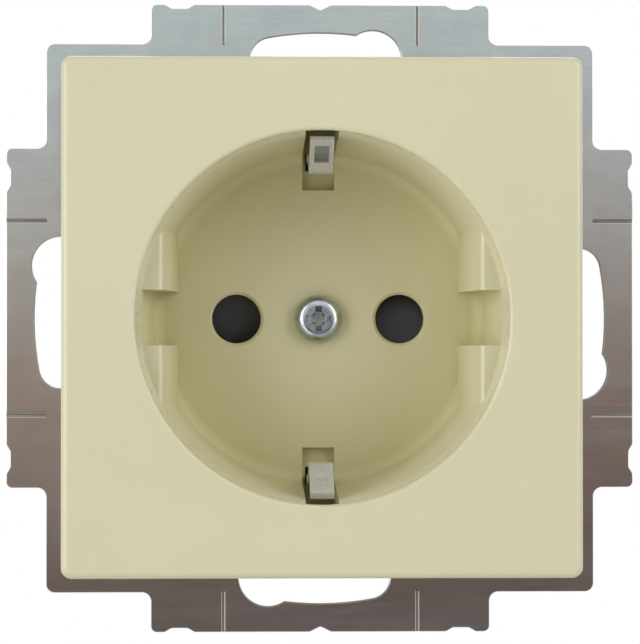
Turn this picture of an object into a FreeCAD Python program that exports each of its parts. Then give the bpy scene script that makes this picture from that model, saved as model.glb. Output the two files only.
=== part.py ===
import FreeCAD, Part
import math
import os

# Recessed wall socket insert for round two-pin plugs with side earth clips.
# Millimetres. X points right, Z up and the front faces -Y. Y = 0 is the wall plane,
# which the back of the mounting ring lies on, and the origin is the ring's centre.

# Plug recess
PIN_PITCH = 19.0
PIN_LENGTH = 19.0
PIN_HOLE_DIAMETER = 5.7
PIN_HOLE_CHAMFER = 0.3
DISH_DIAMETER = 40.4
DISH_FLARE = 0.65
DISH_TAPER = 1.15
DISH_DEPTH = 17.5
DISH_WALL = 1.5
DISH_FLOOR = 2.0
DISH_RIM_RADIUS = 0.4
DISH_MOUTH_BEND = 8.0
DISH_CORNER_RADIUS = 1.4
LEDGE_INSET = 2.45
LEDGE_DRAFT = 1.5
LEDGE_DEPTH = 2.75
LEDGE_EDGE_RADIUS = 0.5
NOTCH_WIDTH = 6.2

# Cover plate
COVER_PROUD = 10.0
COVER_PLATE = 2.2
COVER_SKIRT = 1.75
COVER_CORNER_RADIUS = 1.2
COVER_EDGE_RADIUS = 0.85

# Earth clips and the slots that they stand in
CLIP_WIDTH = 2.7
CLIP_SHEET = 0.8
CLIP_BULGE = 4.1
CLIP_ARM_INSET = 1.6
CLIP_BULGE_DEPTH = 6.5
CLIP_TIP_DEPTH = 1.4
CLIP_BULGE_BEND = 1.2
CLIP_BACK_LENGTH = 6.0
CLIP_BACK_BEND = 4.0
CLIP_DIMPLE = 1.6
CLIP_DIMPLE_DEPTH = 0.35
CLIP_SLOT_WIDTH = 3.7
CLIP_SLOT_INSET = 5.25
CLIP_SLOT_REACH = 2.4
CLIP_SLOT_WALL = 1.2
CLIP_SLOT_LIP = 0.5
CLIP_SLOT_FLOOR = 0.8

# Cover screw
SCREW_HEAD_DIAMETER = 5.5
SCREW_HEAD_HEIGHT = 1.9
SCREW_SHANK_DIAMETER = 2.9
SCREW_RECESS_WIDTH = 2.9
SCREW_THREAD_LENGTH = 3.0
HEAD_ROUNDING_SHARE = 0.62
RECESS_DEPTH_SHARE = 0.7
RECESS_BLADE_SHARE = 0.13
RECESS_TAPER_SHARE = 0.55
RECESS_CORE_SHARE = 0.3
RECESS_TIP_SHARE = 0.12

# Mounting ring
RING_SHEET = 1.2
RING_MARGIN = 2.15
TAB_PROUD = 6.65
TAB_WIDTH = 38.4
RING_CORNER_RADIUS = 1.0
TAB_CORNER_RADIUS = 0.7
TAB_NOTCH_PLACE = 15.95
TAB_NOTCH_WIDTH = 1.8
TAB_NOTCH_SLOPE = 0.8
TAB_NOTCH_DEPTH = 0.45
MARK_WIDTH = 2.4
MARK_DEPTH = 0.6
MARK_ROUNDING = 0.35
SCORE_PLACE = 11.0
SCORE_LENGTH = 4.6
SCORE_WIDTH = 0.55
SCORE_DEPTH = 0.35
SLOT_INSET = 5.55
SLOT_WIDTH = 4.8
KEYHOLE_DIAMETER = 6.6
KEYHOLE_ANGLE = 11.4
SLOT_END_ANGLE = 10.6
RIVET_WALL = 1.4
RIVET_SHANK_DIAMETER = 2.4
RIVET_HEAD_DIAMETER = 4.4
RIVET_HEAD_HEIGHT = 0.8
RIVET_HEAD_ROUNDING = 0.6
RIVET_LENGTH = 6.0

# Base body and rear cover
BODY_SIDE_WALL = 2.5
BODY_END_WALL = 2.4
BODY_CORNER_RADIUS = 5.0
BODY_WINDOW = 22.0
BODY_WEB = 2.0
REAR_COVER = 2.0
REAR_EDGE_RADIUS = 0.5
BRIDGE_CLEARANCE = 2.0
WIRE_HOLE_DIAMETER = 3.4
WIRE_FUNNEL = 0.5
WIRE_PITCH = 5.5
WIRE_HEIGHT = 13.5
RELEASE_WIDTH = 5.0
RELEASE_HEIGHT = 1.0
REAR_SCREW_INSET = 5.0
REAR_SCREW_DROP = 8.0
REAR_SCREW_DIAMETER = 2.2
REAR_SCREW_HEAD_DIAMETER = 4.2
REAR_SCREW_LENGTH = 9.0

# Shutter
SHUTTER_RIM = 1.4
SHUTTER_THICKNESS = 2.2
SHUTTER_SWING = 38.0
SHUTTER_OPENING_DIAMETER = 6.2
SHUTTER_POST_DIAMETER = 6.0
STOP_HALF_ANGLE = 7.0
STOP_DEPTH = 1.6
STOP_SLACK_ANGLE = 1.5
RAMP_SHARE = 0.6
SPRING_WIRE = 0.5
SPRING_COIL_RADIUS = 4.0
SPRING_LEG_RADIUS = 7.0
SPRING_LEG_ANGLE = 270.0
SPRING_SWEEP = 290.0
SPRING_HOOK = 1.6

# Contacts and wire clamps
CONTACT_SHEET = 0.8
CONTACT_GAP = 4.8
CONTACT_HEIGHT = 7.2
CONTACT_FLARE = 0.8
BAR_MARGIN = 0.3
BAR_TAIL = 2.6
CLAMP_SHEET = 0.5
CLAMP_ROOM = 5.1
CLAMP_LEG = 10.0
CLAMP_LEAN = 1.7
CLAMP_FOLD_GAP = 1.2
CHAMBER_TOP = 6.0
CHAMBER_SIDE_GAP = 0.2
BAND_SHEET = 0.5
BAND_WIDTH = 4.0

# Spreading claws
CLAW_ROOM = 5.45
CLAW_SHEET = 1.2
CLAW_CHEEK_GAP = 5.6
CLAW_SWING = 32.0
CLAW_LUG_RADIUS = 6.5
CLAW_BODY_GAP = 0.8
CLAW_LENGTH = 13.5
CLAW_PIVOT_DEPTH = 3.0
CLAW_PIN_DIAMETER = 2.0
CLAW_PIN_LENGTH = 12.6
CLAW_EYE_RADIUS = 1.9
CLAW_SCREW_DIAMETER = 2.9
CLAW_SCREW_HEAD_HEIGHT = 1.8
CLAW_NECK = 3.4
LUG_HALF_LENGTH = 2.6
EYE_ROUNDING_SHARE = 0.9
TOOTH_COUNT = 3
TOOTH_PITCH = 1.5
TOOTH_DEPTH = 0.8

# Clearances
RUNNING_GAP = 0.06
LOOSE_GAP = 0.15
FREE_GAP = 0.3
FACE_GAP = 0.2
THROUGH = 1.0
SAME_POINT = 1e-6
ON_PLANE = 0.01
NEAR_RIM = 0.1
STRAIGHT_ANGLE = 89.9

# Planes along Y, counted from the wall
COVER_FRONT_Y = -COVER_PROUD
RING_FRONT_Y = -RING_SHEET
MOUTH_Y = COVER_FRONT_Y + LEDGE_DEPTH
FLOOR_Y = COVER_FRONT_Y + DISH_DEPTH
SEAT_Y = FLOOR_Y + DISH_FLOOR
SHUTTER_FRONT_Y = SEAT_Y + FACE_GAP
SHUTTER_REAR_Y = SHUTTER_FRONT_Y + SHUTTER_THICKNESS
WEB_FRONT_Y = SHUTTER_REAR_Y + FACE_GAP
WEB_REAR_Y = WEB_FRONT_Y + BODY_WEB
BRIDGE_FRONT_Y = FLOOR_Y + PIN_LENGTH + BRIDGE_CLEARANCE
BODY_REAR_Y = BRIDGE_FRONT_Y + CONTACT_SHEET
REAR_Y = BODY_REAR_Y + REAR_COVER
STRAP_MIDDLE_Y = WEB_REAR_Y + CLIP_SHEET / 2
CLIP_TIP_Y = COVER_FRONT_Y + CLIP_TIP_DEPTH
CLIP_BULGE_Y = COVER_FRONT_Y + CLIP_BULGE_DEPTH

# Places that follow from the sizes above
PIN_X = PIN_PITCH / 2
DISH_MOUTH_RADIUS = DISH_DIAMETER / 2
DISH_FRONT_RADIUS = DISH_MOUTH_RADIUS + DISH_FLARE
DISH_FLOOR_RADIUS = DISH_MOUTH_RADIUS - DISH_TAPER
LEDGE_X = DISH_MOUTH_RADIUS - LEDGE_INSET
SHELL_RADIUS = DISH_MOUTH_RADIUS + DISH_WALL
SKIRT_INNER = SHELL_RADIUS + CLAW_ROOM
COVER_HALF = SKIRT_INNER + COVER_SKIRT
RING_BORE_RADIUS = SHELL_RADIUS + LOOSE_GAP
RING_HALF = COVER_HALF + TAB_PROUD
RING_SQUARE_HALF = COVER_HALF + RING_MARGIN
SLOT_RADIUS = RING_HALF - SLOT_INSET
RIVET_PLACE = (SHELL_RADIUS + RIVET_WALL + RIVET_SHANK_DIAMETER / 2) / math.sqrt(2)
CLIP_HALF_WIDTH = CLIP_WIDTH / 2
STRAP_BEND = CLIP_SHEET
CLIP_ARM_RADIUS = DISH_MOUTH_RADIUS - CLIP_ARM_INSET
CLIP_BULGE_RADIUS = DISH_MOUTH_RADIUS - CLIP_BULGE
CLIP_SLOT_INNER_RADIUS = DISH_MOUTH_RADIUS - CLIP_SLOT_INSET
CLIP_SLOT_OUTER_RADIUS = DISH_MOUTH_RADIUS + CLIP_SLOT_REACH
POCKET_HALF_WIDTH = CLIP_SLOT_WIDTH / 2 + CLIP_SLOT_WALL
POCKET_RADIUS = CLIP_SLOT_OUTER_RADIUS + CLIP_SLOT_WALL
SCREW_SHANK_RADIUS = SCREW_SHANK_DIAMETER / 2
POST_RADIUS = SHUTTER_POST_DIAMETER / 2
SHUTTER_RADIUS = PIN_X + SHUTTER_OPENING_DIAMETER / 2 + SHUTTER_RIM
BAR_MIDDLE_Z = WIRE_HEIGHT - WIRE_HOLE_DIAMETER / 2 - FACE_GAP - CONTACT_SHEET / 2
BAR_WIDTH = CONTACT_GAP + 2 * (CONTACT_SHEET + BAND_SHEET + BAR_MARGIN)
CHAMBER_HALF_WIDTH = BAR_WIDTH / 2 + CHAMBER_SIDE_GAP
CHAMBER_END = BAR_MIDDLE_Z + CONTACT_SHEET / 2 + CLAMP_ROOM + CLAMP_SHEET + FREE_GAP
CLAW_HALF_SWING = math.radians(CLAW_SWING / 2)
CLAW_SCREW_X = (SHELL_RADIUS + SKIRT_INNER) / 2
CLAW_SCREW_HEAD_DIAMETER = CLAW_ROOM - 2 * FACE_GAP
CLAW_PIVOT_X = CLAW_SCREW_X - CLAW_LUG_RADIUS * (1 + math.cos(CLAW_HALF_SWING)) / 2
CLAW_PIVOT_Y = SEAT_Y + CLAW_PIVOT_DEPTH
CLAW_CHEEK = CLAW_CHEEK_GAP / 2
CLAW_TAIL = ((BODY_SIDE_WALL + CLAW_BODY_GAP + CLAW_LENGTH * math.sin(CLAW_HALF_SWING))
             / math.cos(CLAW_HALF_SWING))
CLAW_WAIST = CLAW_TAIL - CLAW_NECK / 2
CLAW_REACH = CLAW_TAIL + CLAW_NECK / 2
BODY_HALF_WIDTH = CLAW_PIVOT_X + BODY_SIDE_WALL
BODY_HALF_HEIGHT = CLIP_ARM_RADIUS + BODY_END_WALL
REAR_SCREW_X = BODY_HALF_WIDTH - REAR_SCREW_INSET
REAR_SCREW_Z = BODY_HALF_HEIGHT - REAR_SCREW_DROP

UP = FreeCAD.Vector(0, 0, 1)
REARWARD = FreeCAD.Vector(0, 1, 0)
FORWARD = FreeCAD.Vector(0, -1, 0)
ORIGIN = FreeCAD.Vector(0, 0, 0)
PLANES = {
    "XZ": lambda u, v, level: FreeCAD.Vector(u, level, v),
    "XY": lambda u, v, level: FreeCAD.Vector(u, v, level),
    "YZ": lambda u, v, level: FreeCAD.Vector(level, u, v),
}


def box(x0, x1, y0, y1, z0, z1):
    """A block between two corners."""
    return Part.makeBox(x1 - x0, y1 - y0, z1 - z0, FreeCAD.Vector(x0, y0, z0))


def rod(x, z, radius, y0, y1):
    """A cylinder along Y."""
    return Part.makeCylinder(radius, y1 - y0, FreeCAD.Vector(x, y0, z), REARWARD)


def funnel(x, z, radius0, radius1, y0, y1):
    """A cone along Y."""
    return Part.makeCone(radius0, radius1, y1 - y0, FreeCAD.Vector(x, y0, z), REARWARD)


def outline(plane, corners, level):
    """A flat face from (u, v, radius) corners, each rounded to its radius."""
    place = PLANES[plane]
    rounded = []
    for index, (u, v, radius) in enumerate(corners):
        here = FreeCAD.Vector(u, v, 0)
        back = FreeCAD.Vector(*corners[index - 1][:2], 0) - here
        ahead = FreeCAD.Vector(*corners[(index + 1) % len(corners)][:2], 0) - here
        back.normalize()
        ahead.normalize()
        half = back.getAngle(ahead) / 2
        if radius == 0 or half > math.radians(STRAIGHT_ANGLE):
            rounded.append((here, here, here))
            continue
        reach = radius / math.tan(half)
        middle = back + ahead
        middle.normalize()
        crown = here + middle * (radius / math.sin(half) - radius)
        rounded.append((here + back * reach, crown, here + ahead * reach))
    edges = []
    for index, (start, crown, end) in enumerate(rounded):
        if start.distanceToPoint(end) > SAME_POINT:
            points = [place(p.x, p.y, level) for p in (start, crown, end)]
            edges.append(Part.Arc(*points).toShape())
        following = rounded[(index + 1) % len(rounded)][0]
        if end.distanceToPoint(following) > SAME_POINT:
            points = [place(p.x, p.y, level) for p in (end, following)]
            edges.append(Part.LineSegment(*points).toShape())
    return Part.Face(Part.Wire(edges))


def prism(plane, corners, level0, level1):
    """An outline drawn in a plane and raised from level0 to level1."""
    place = PLANES[plane]
    return outline(plane, corners, level0).extrude(place(0, 0, level1 - level0))


def strip(plane, path, sheet, level0, level1):
    """A bent sheet strip: path is its middle line, as (u, v, inner bend radius)."""
    left = []
    right = []
    for index, (u, v, bend) in enumerate(path):
        here = FreeCAD.Vector(u, v, 0)
        before = FreeCAD.Vector(*path[max(index, 1) - 1][:2], 0)
        entry = FreeCAD.Vector(*path[max(index, 1)][:2], 0) - before
        last = min(index, len(path) - 2)
        leaving = FreeCAD.Vector(*path[last + 1][:2], 0) - FreeCAD.Vector(*path[last][:2], 0)
        entry.normalize()
        leaving.normalize()
        side_in = FreeCAD.Vector(-entry.y, entry.x, 0)
        side_out = FreeCAD.Vector(-leaving.y, leaving.x, 0)
        shift = (side_in + side_out) * (sheet / 2 / (1 + side_in.dot(side_out)))
        turns_left = entry.x * leaving.y - entry.y * leaving.x > 0
        outer = bend + sheet if bend else 0
        left_radius, right_radius = (bend, outer) if turns_left else (outer, bend)
        left.append((here.x + shift.x, here.y + shift.y, left_radius))
        right.append((here.x - shift.x, here.y - shift.y, right_radius))
    return prism(plane, left + right[::-1], level0, level1)


def rectangle(half_u, half_v, radius):
    """Corners of a centred rectangle for outline()."""
    return [(half_u, half_v, radius), (-half_u, half_v, radius),
            (-half_u, -half_v, radius), (half_u, -half_v, radius)]


def turned(profile):
    """A solid of revolution about Y from (radius, y, rounding) corners."""
    return outline("XY", profile, 0).revolve(ORIGIN, REARWARD, 360)


def turn(shape, angle, centre=ORIGIN, axis=FORWARD):
    """A copy turned by degrees, anticlockwise as seen from the front."""
    copy = shape.copy()
    copy.rotate(centre, axis, angle)
    return copy


def moved(shape, x=0, y=0, z=0):
    """A copy moved by an offset."""
    copy = shape.copy()
    copy.translate(FreeCAD.Vector(x, y, z))
    return copy


def mirrored(shape, normal):
    """A copy mirrored through the origin."""
    return shape.mirror(ORIGIN, normal)


def fused(*shapes):
    """All shapes joined into one clean solid."""
    return shapes[0].fuse(list(shapes[1:])).removeSplitter()


def softened(shape, radius, test):
    """Rounds the edges whose bounding box passes the test."""
    edges = [edge for edge in shape.Edges if test(edge.BoundBox)]
    return shape.makeFillet(radius, edges)


def arc_slot(radius, half_width, angle0, angle1, y0, y1):
    """A slot with round ends that follows a circle about Y."""
    corners = [(radius - half_width, y0, 0), (radius + half_width, y0, 0),
               (radius + half_width, y1, 0), (radius - half_width, y1, 0)]
    sweep = outline("XY", corners, 0).revolve(ORIGIN, FORWARD, angle1 - angle0)
    end = rod(radius, 0, half_width, y0, y1)
    return fused(turn(sweep, angle0), turn(end, angle0), turn(end, angle1))


def cross_recess(width, depth, y):
    """Two crossed tapering blades, sunk rearward from a plane y."""
    blade_half = width * RECESS_BLADE_SHARE
    half = width / 2
    foot = half * RECESS_TAPER_SHARE
    corners = [(-half, y, 0), (half, y, 0), (foot, y + depth, 0), (-foot, y + depth, 0)]
    blade = prism("XY", corners, -blade_half, blade_half)
    core = funnel(0, 0, width * RECESS_CORE_SHARE, width * RECESS_TIP_SHARE, y, y + depth)
    return fused(blade, turn(blade, 90), core)


def pan_screw(head_diameter, head_height, shank_diameter, recess_width, seat_y, tip_y):
    """A pan head screw on the Y axis, its head in front of seat_y."""
    head_radius = head_diameter / 2
    shank_radius = shank_diameter / 2
    top_y = seat_y - head_height
    rounding = head_height * HEAD_ROUNDING_SHARE
    profile = [(0, top_y, 0), (head_radius, top_y, rounding), (head_radius, seat_y, 0),
               (shank_radius, seat_y, 0), (shank_radius, tip_y - shank_radius / 2, 0),
               (shank_radius / 2, tip_y, 0), (0, tip_y, 0)]
    recess = cross_recess(recess_width, head_height * RECESS_DEPTH_SHARE, top_y)
    return turned(profile).cut(recess)


def dish_space(grow):
    """The space inside the plug recess, or its outer shell when grown by the wall."""
    rear = FLOOR_Y + (DISH_FLOOR if grow else 0)
    profile = [(0, COVER_FRONT_Y, 0), (DISH_FRONT_RADIUS + grow, COVER_FRONT_Y, 0),
               (DISH_MOUTH_RADIUS + grow, MOUTH_Y, DISH_MOUTH_BEND),
               (DISH_FLOOR_RADIUS + grow, rear, DISH_CORNER_RADIUS + grow), (0, rear, 0)]
    space = turned(profile)
    flat = LEDGE_X + grow
    far = DISH_FRONT_RADIUS + grow + THROUGH
    foot = flat - LEDGE_DRAFT * (SEAT_Y + THROUGH - MOUTH_Y) / (FLOOR_Y - MOUTH_Y)
    ledge = [(flat, MOUTH_Y + grow, LEDGE_EDGE_RADIUS), (far, MOUTH_Y + grow, 0),
             (far, SEAT_Y + THROUGH, 0), (foot, SEAT_Y + THROUGH, 0)]
    corner = prism("XY", ledge, NOTCH_WIDTH / 2 + grow, far)
    pair = fused(corner, mirrored(corner, UP))
    return space.cut(pair).cut(mirrored(pair, FreeCAD.Vector(1, 0, 0)))


def clip_pockets(half_width, outer_radius, front_y, rear_y):
    """The two places where the earth clips pass the recess wall."""
    pocket = box(-half_width, half_width, front_y, rear_y, CLIP_SLOT_INNER_RADIUS, outer_radius)
    return [pocket, mirrored(pocket, UP)]


def pin_hole(x):
    """One pin hole in the recess floor, its front edge chamfered."""
    radius = PIN_HOLE_DIAMETER / 2
    wide = radius + PIN_HOLE_CHAMFER
    lead = funnel(x, 0, wide, radius, FLOOR_Y, FLOOR_Y + PIN_HOLE_CHAMFER)
    return fused(rod(x, 0, radius, FLOOR_Y, SEAT_Y + THROUGH), lead)


def make_cover_plate():
    """Square plate, skirt and plug recess, one moulding."""
    plate = prism("XZ", rectangle(COVER_HALF, COVER_HALF, COVER_CORNER_RADIUS),
                  COVER_FRONT_Y, RING_FRONT_Y)
    plate = softened(plate, COVER_EDGE_RADIUS, lambda b: b.YMax < COVER_FRONT_Y + ON_PLANE)
    hollow = prism("XZ", rectangle(SKIRT_INNER, SKIRT_INNER, COVER_CORNER_RADIUS / 2),
                   COVER_FRONT_Y + COVER_PLATE, RING_FRONT_Y + THROUGH)
    slots = clip_pockets(CLIP_SLOT_WIDTH / 2, CLIP_SLOT_OUTER_RADIUS,
                         COVER_FRONT_Y + CLIP_SLOT_LIP, SEAT_Y - CLIP_SLOT_FLOOR)
    slots += clip_arm_slots()
    walls = clip_pockets(POCKET_HALF_WIDTH, POCKET_RADIUS,
                         COVER_FRONT_Y + COVER_PLATE / 2, SEAT_Y)
    shell = fused(plate.cut(hollow), dish_space(DISH_WALL), *walls)
    holes = [pin_hole(-PIN_X), pin_hole(PIN_X)]
    holes.append(rod(0, 0, SCREW_SHANK_RADIUS + LOOSE_GAP, FLOOR_Y - THROUGH, SEAT_Y + THROUGH))
    cover = shell.cut([dish_space(0)] + slots + holes)
    return softened(cover, DISH_RIM_RADIUS, is_dish_rim)


def is_dish_rim(bounds):
    """True for the front circle of the plug recess."""
    on_front = bounds.YMax < COVER_FRONT_Y + ON_PLANE
    return on_front and abs(bounds.XMax - DISH_FRONT_RADIUS) < NEAR_RIM


def make_cover_screw():
    """The screw that holds the cover plate down on the earth strap."""
    tip = WEB_REAR_Y + CLIP_SHEET + SCREW_THREAD_LENGTH
    return pan_screw(SCREW_HEAD_DIAMETER, SCREW_HEAD_HEIGHT, SCREW_SHANK_DIAMETER,
                     SCREW_RECESS_WIDTH, FLOOR_Y, tip)


def side_corners(marked):
    """One side of the mounting ring, the right one; a marked side has a notch at its middle."""
    edge = RING_HALF
    square = RING_SQUARE_HALF
    tab = TAB_WIDTH / 2
    near = TAB_NOTCH_PLACE - TAB_NOTCH_WIDTH / 2
    far = TAB_NOTCH_PLACE + TAB_NOTCH_WIDTH / 2
    slope = TAB_NOTCH_SLOPE
    low = edge - TAB_NOTCH_DEPTH
    soft = TAB_NOTCH_DEPTH
    round_corner = RING_CORNER_RADIUS
    notch = [(edge, near - slope, soft), (low, near, soft), (low, far, soft),
             (edge, far + slope, soft)]
    lower = [(u, -v, r) for u, v, r in reversed(notch)]
    mark = [(edge, -MARK_WIDTH / 2, MARK_ROUNDING), (edge - MARK_DEPTH, 0, MARK_ROUNDING),
            (edge, MARK_WIDTH / 2, MARK_ROUNDING)]
    side = [(square, -tab, round_corner), (edge, -tab, TAB_CORNER_RADIUS)] + lower
    side += (mark if marked else []) + notch
    side += [(edge, tab, TAB_CORNER_RADIUS), (square, tab, round_corner),
             (square, square, round_corner)]
    return side


def ring_corners():
    """Outline of the mounting ring: four sides, of which the top and bottom one are marked."""
    corners = []
    for cosine, sine in ((1, 0), (0, 1), (-1, 0), (0, -1)):
        side = side_corners(sine != 0)
        corners += [(u * cosine - v * sine, u * sine + v * cosine, r) for u, v, r in side]
    return corners


def ring_cuts():
    """One side's keyhole slot and its two V-shaped score lines."""
    front = RING_FRONT_Y - THROUGH
    slot = arc_slot(SLOT_RADIUS, SLOT_WIDTH / 2, -KEYHOLE_ANGLE, SLOT_END_ANGLE, front, THROUGH)
    keyhole = turn(rod(SLOT_RADIUS, 0, KEYHOLE_DIAMETER / 2, front, THROUGH), -KEYHOLE_ANGLE)
    above = RING_FRONT_Y - SCORE_DEPTH
    groove = [(above, SCORE_PLACE - SCORE_WIDTH, 0), (above, SCORE_PLACE + SCORE_WIDTH, 0),
              (RING_FRONT_Y + SCORE_DEPTH, SCORE_PLACE, 0)]
    score = prism("YZ", groove, RING_HALF - SCORE_LENGTH, RING_HALF + THROUGH)
    return [slot, keyhole, score, mirrored(score, UP)]


def corner_places():
    """The four places of the ring's rivets."""
    return [(x, z) for z in (RIVET_PLACE, -RIVET_PLACE) for x in (-RIVET_PLACE, RIVET_PLACE)]


def make_mounting_ring():
    """Punched steel sheet with four tabs, four keyhole slots and the middle opening."""
    front = RING_FRONT_Y - THROUGH
    sheet = prism("XZ", ring_corners(), RING_FRONT_Y, 0)
    cuts = [rod(0, 0, RING_BORE_RADIUS, front, THROUGH)]
    relief = POCKET_HALF_WIDTH + FREE_GAP
    cuts.append(box(-relief, relief, front, THROUGH, -POCKET_RADIUS - FREE_GAP,
                    POCKET_RADIUS + FREE_GAP))
    for quarter in range(4):
        cuts += [turn(cut, 90 * quarter) for cut in ring_cuts()]
    rivet_hole = RIVET_SHANK_DIAMETER / 2 + RUNNING_GAP
    cuts += [rod(x, z, rivet_hole, front, THROUGH) for x, z in corner_places()]
    screw_hole = CLAW_SCREW_DIAMETER / 2 + LOOSE_GAP
    cuts += [rod(x, 0, screw_hole, front, THROUGH) for x in (-CLAW_SCREW_X, CLAW_SCREW_X)]
    return sheet.cut(cuts)


def make_ring_rivet(x, z):
    """A round head rivet through the ring into a column of the body."""
    head = RIVET_HEAD_DIAMETER / 2
    shank = RIVET_SHANK_DIAMETER / 2
    top = RING_FRONT_Y - RIVET_HEAD_HEIGHT
    profile = [(0, top, 0), (head, top, RIVET_HEAD_ROUNDING), (head, RING_FRONT_Y, 0),
               (shank, RING_FRONT_Y, 0), (shank, RIVET_LENGTH, 0), (0, RIVET_LENGTH, 0)]
    return moved(turned(profile), x=x, z=z)


def wedge(radius0, radius1, angle0, angle1, y0, y1):
    """A sector between two radii and two angles, anticlockwise as seen from the front."""
    corners = [(radius0, y0, 0), (radius1, y0, 0), (radius1, y1, 0), (radius0, y1, 0)]
    return turn(outline("XY", corners, 0).revolve(ORIGIN, FORWARD, angle1 - angle0), angle0)


def shutter_recess():
    """The round recess for the shutter, which leaves its post and its stop standing."""
    radius = SHUTTER_RADIUS + FREE_GAP
    disc = rod(0, 0, radius, SEAT_Y - THROUGH, WEB_FRONT_Y)
    post = rod(0, 0, POST_RADIUS, SEAT_Y - THROUGH, WEB_FRONT_Y)
    stop = wedge(SHUTTER_RADIUS - STOP_DEPTH, radius + THROUGH, 90 - STOP_HALF_ANGLE,
                 90 + STOP_HALF_ANGLE, SEAT_Y - THROUGH, WEB_FRONT_Y)
    return disc.cut([post, stop])


def spring_groove():
    """The arc behind the shutter that the spring's rear leg runs in."""
    return arc_slot(SPRING_LEG_RADIUS, SPRING_WIRE / 2 + LOOSE_GAP, SPRING_LEG_ANGLE - SHUTTER_SWING,
                    SPRING_LEG_ANGLE, WEB_FRONT_Y - THROUGH, WEB_FRONT_Y + BODY_WEB / 2)


def contact_chamber(x):
    """The chamber of one pin contact and its wire clamp."""
    return box(x - CHAMBER_HALF_WIDTH, x + CHAMBER_HALF_WIDTH, WEB_REAR_Y, BODY_REAR_Y + THROUGH,
               -CHAMBER_END, CHAMBER_TOP)


def earth_chamber():
    """The chamber of the earth wire clamp and the channel of the strap."""
    half = CHAMBER_HALF_WIDTH
    low = BAR_MIDDLE_Z - BAR_TAIL - FREE_GAP
    room = box(-half, half, WEB_REAR_Y, BODY_REAR_Y + THROUGH, low, CHAMBER_END)
    arm = CLIP_ARM_RADIUS + CLIP_SHEET / 2 + FREE_GAP
    side = CLIP_HALF_WIDTH + FREE_GAP
    channel = box(-side, side, WEB_REAR_Y, WEB_REAR_Y + CLIP_SHEET + FREE_GAP, -arm, arm)
    collar = rod(0, 0, POST_RADIUS, WEB_REAR_Y,
                 WEB_REAR_Y + CLIP_SHEET + SCREW_THREAD_LENGTH + THROUGH)
    return [room, channel, collar]


def clip_arm_slots():
    """The slots that the clip arms pass through, from the strap to the recess."""
    side = CLIP_HALF_WIDTH + LOOSE_GAP
    inner = CLIP_ARM_RADIUS - CLIP_SHEET / 2 - STRAP_BEND - LOOSE_GAP
    outer = CLIP_ARM_RADIUS + CLIP_SHEET / 2 + FREE_GAP
    slot = box(-side, side, SEAT_Y - THROUGH, WEB_REAR_Y + THROUGH, inner, outer)
    return [slot, mirrored(slot, UP)]


def claw_pocket(side):
    """The pocket of one claw with the bore of its pin, on the side given by its sign."""
    inner = CLAW_PIVOT_X - CLAW_EYE_RADIUS - FREE_GAP
    cheek = CLAW_CHEEK + CLAW_SHEET + FREE_GAP
    depth = CLAW_PIVOT_Y + CLAW_LUG_RADIUS
    room = box(inner, BODY_HALF_WIDTH + THROUGH, SEAT_Y - THROUGH, depth, -cheek, cheek)
    pin = CLAW_PIN_LENGTH / 2
    bore = Part.makeCylinder(CLAW_PIN_DIAMETER / 2 + RUNNING_GAP / 2, CLAW_PIN_LENGTH,
                             FreeCAD.Vector(CLAW_PIVOT_X, CLAW_PIVOT_Y, -pin), UP)
    pocket = fused(room, bore)
    return pocket if side > 0 else mirrored(pocket, FreeCAD.Vector(1, 0, 0))


def body_columns():
    """The four corner columns between the body and the mounting ring."""
    block = prism("XZ", rectangle(BODY_HALF_WIDTH, BODY_HALF_HEIGHT, BODY_CORNER_RADIUS),
                  0, SEAT_Y)
    window = BODY_WINDOW / 2
    wide = BODY_HALF_HEIGHT + THROUGH
    cuts = [rod(0, 0, SHELL_RADIUS, -THROUGH, SEAT_Y),
            box(-wide, wide, -THROUGH, SEAT_Y, -window, window),
            box(-window, window, -THROUGH, SEAT_Y, -wide, wide)]
    depth = RIVET_LENGTH + FREE_GAP
    radius = RIVET_SHANK_DIAMETER / 2 + RUNNING_GAP
    cuts += [rod(x, z, radius, -THROUGH, depth) for x, z in corner_places()]
    return block.cut(cuts)


def make_base_body():
    """The insulating block that carries the ring, the contacts, the shutter and the claws."""
    block = prism("XZ", rectangle(BODY_HALF_WIDTH, BODY_HALF_HEIGHT, BODY_CORNER_RADIUS),
                  SEAT_Y, BODY_REAR_Y)
    cuts = [shutter_recess(), spring_groove()]
    cuts.append(rod(0, 0, SCREW_SHANK_RADIUS + LOOSE_GAP, SEAT_Y - THROUGH, WEB_REAR_Y + THROUGH))
    for x in (-PIN_X, PIN_X):
        cuts.append(rod(x, 0, SHUTTER_OPENING_DIAMETER / 2, WEB_FRONT_Y - THROUGH,
                        WEB_REAR_Y + THROUGH))
        cuts.append(contact_chamber(x))
    cuts += earth_chamber()
    cuts += clip_arm_slots()
    cuts += [claw_pocket(side) for side in (-1, 1)]
    for x in (-REAR_SCREW_X, REAR_SCREW_X):
        cuts.append(rod(x, REAR_SCREW_Z, REAR_SCREW_DIAMETER / 2 + RUNNING_GAP,
                        BODY_REAR_Y + REAR_COVER - REAR_SCREW_LENGTH - FREE_GAP,
                        BODY_REAR_Y + THROUGH))
    return fused(block.cut(cuts), body_columns())


def wire_places():
    """Centres of the six wire entries, in pairs: live, neutral and earth."""
    pairs = []
    for x, z in ((-PIN_X, -WIRE_HEIGHT), (PIN_X, -WIRE_HEIGHT), (0, WIRE_HEIGHT)):
        pairs += [(x - WIRE_PITCH / 2, z), (x + WIRE_PITCH / 2, z)]
    return pairs


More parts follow.
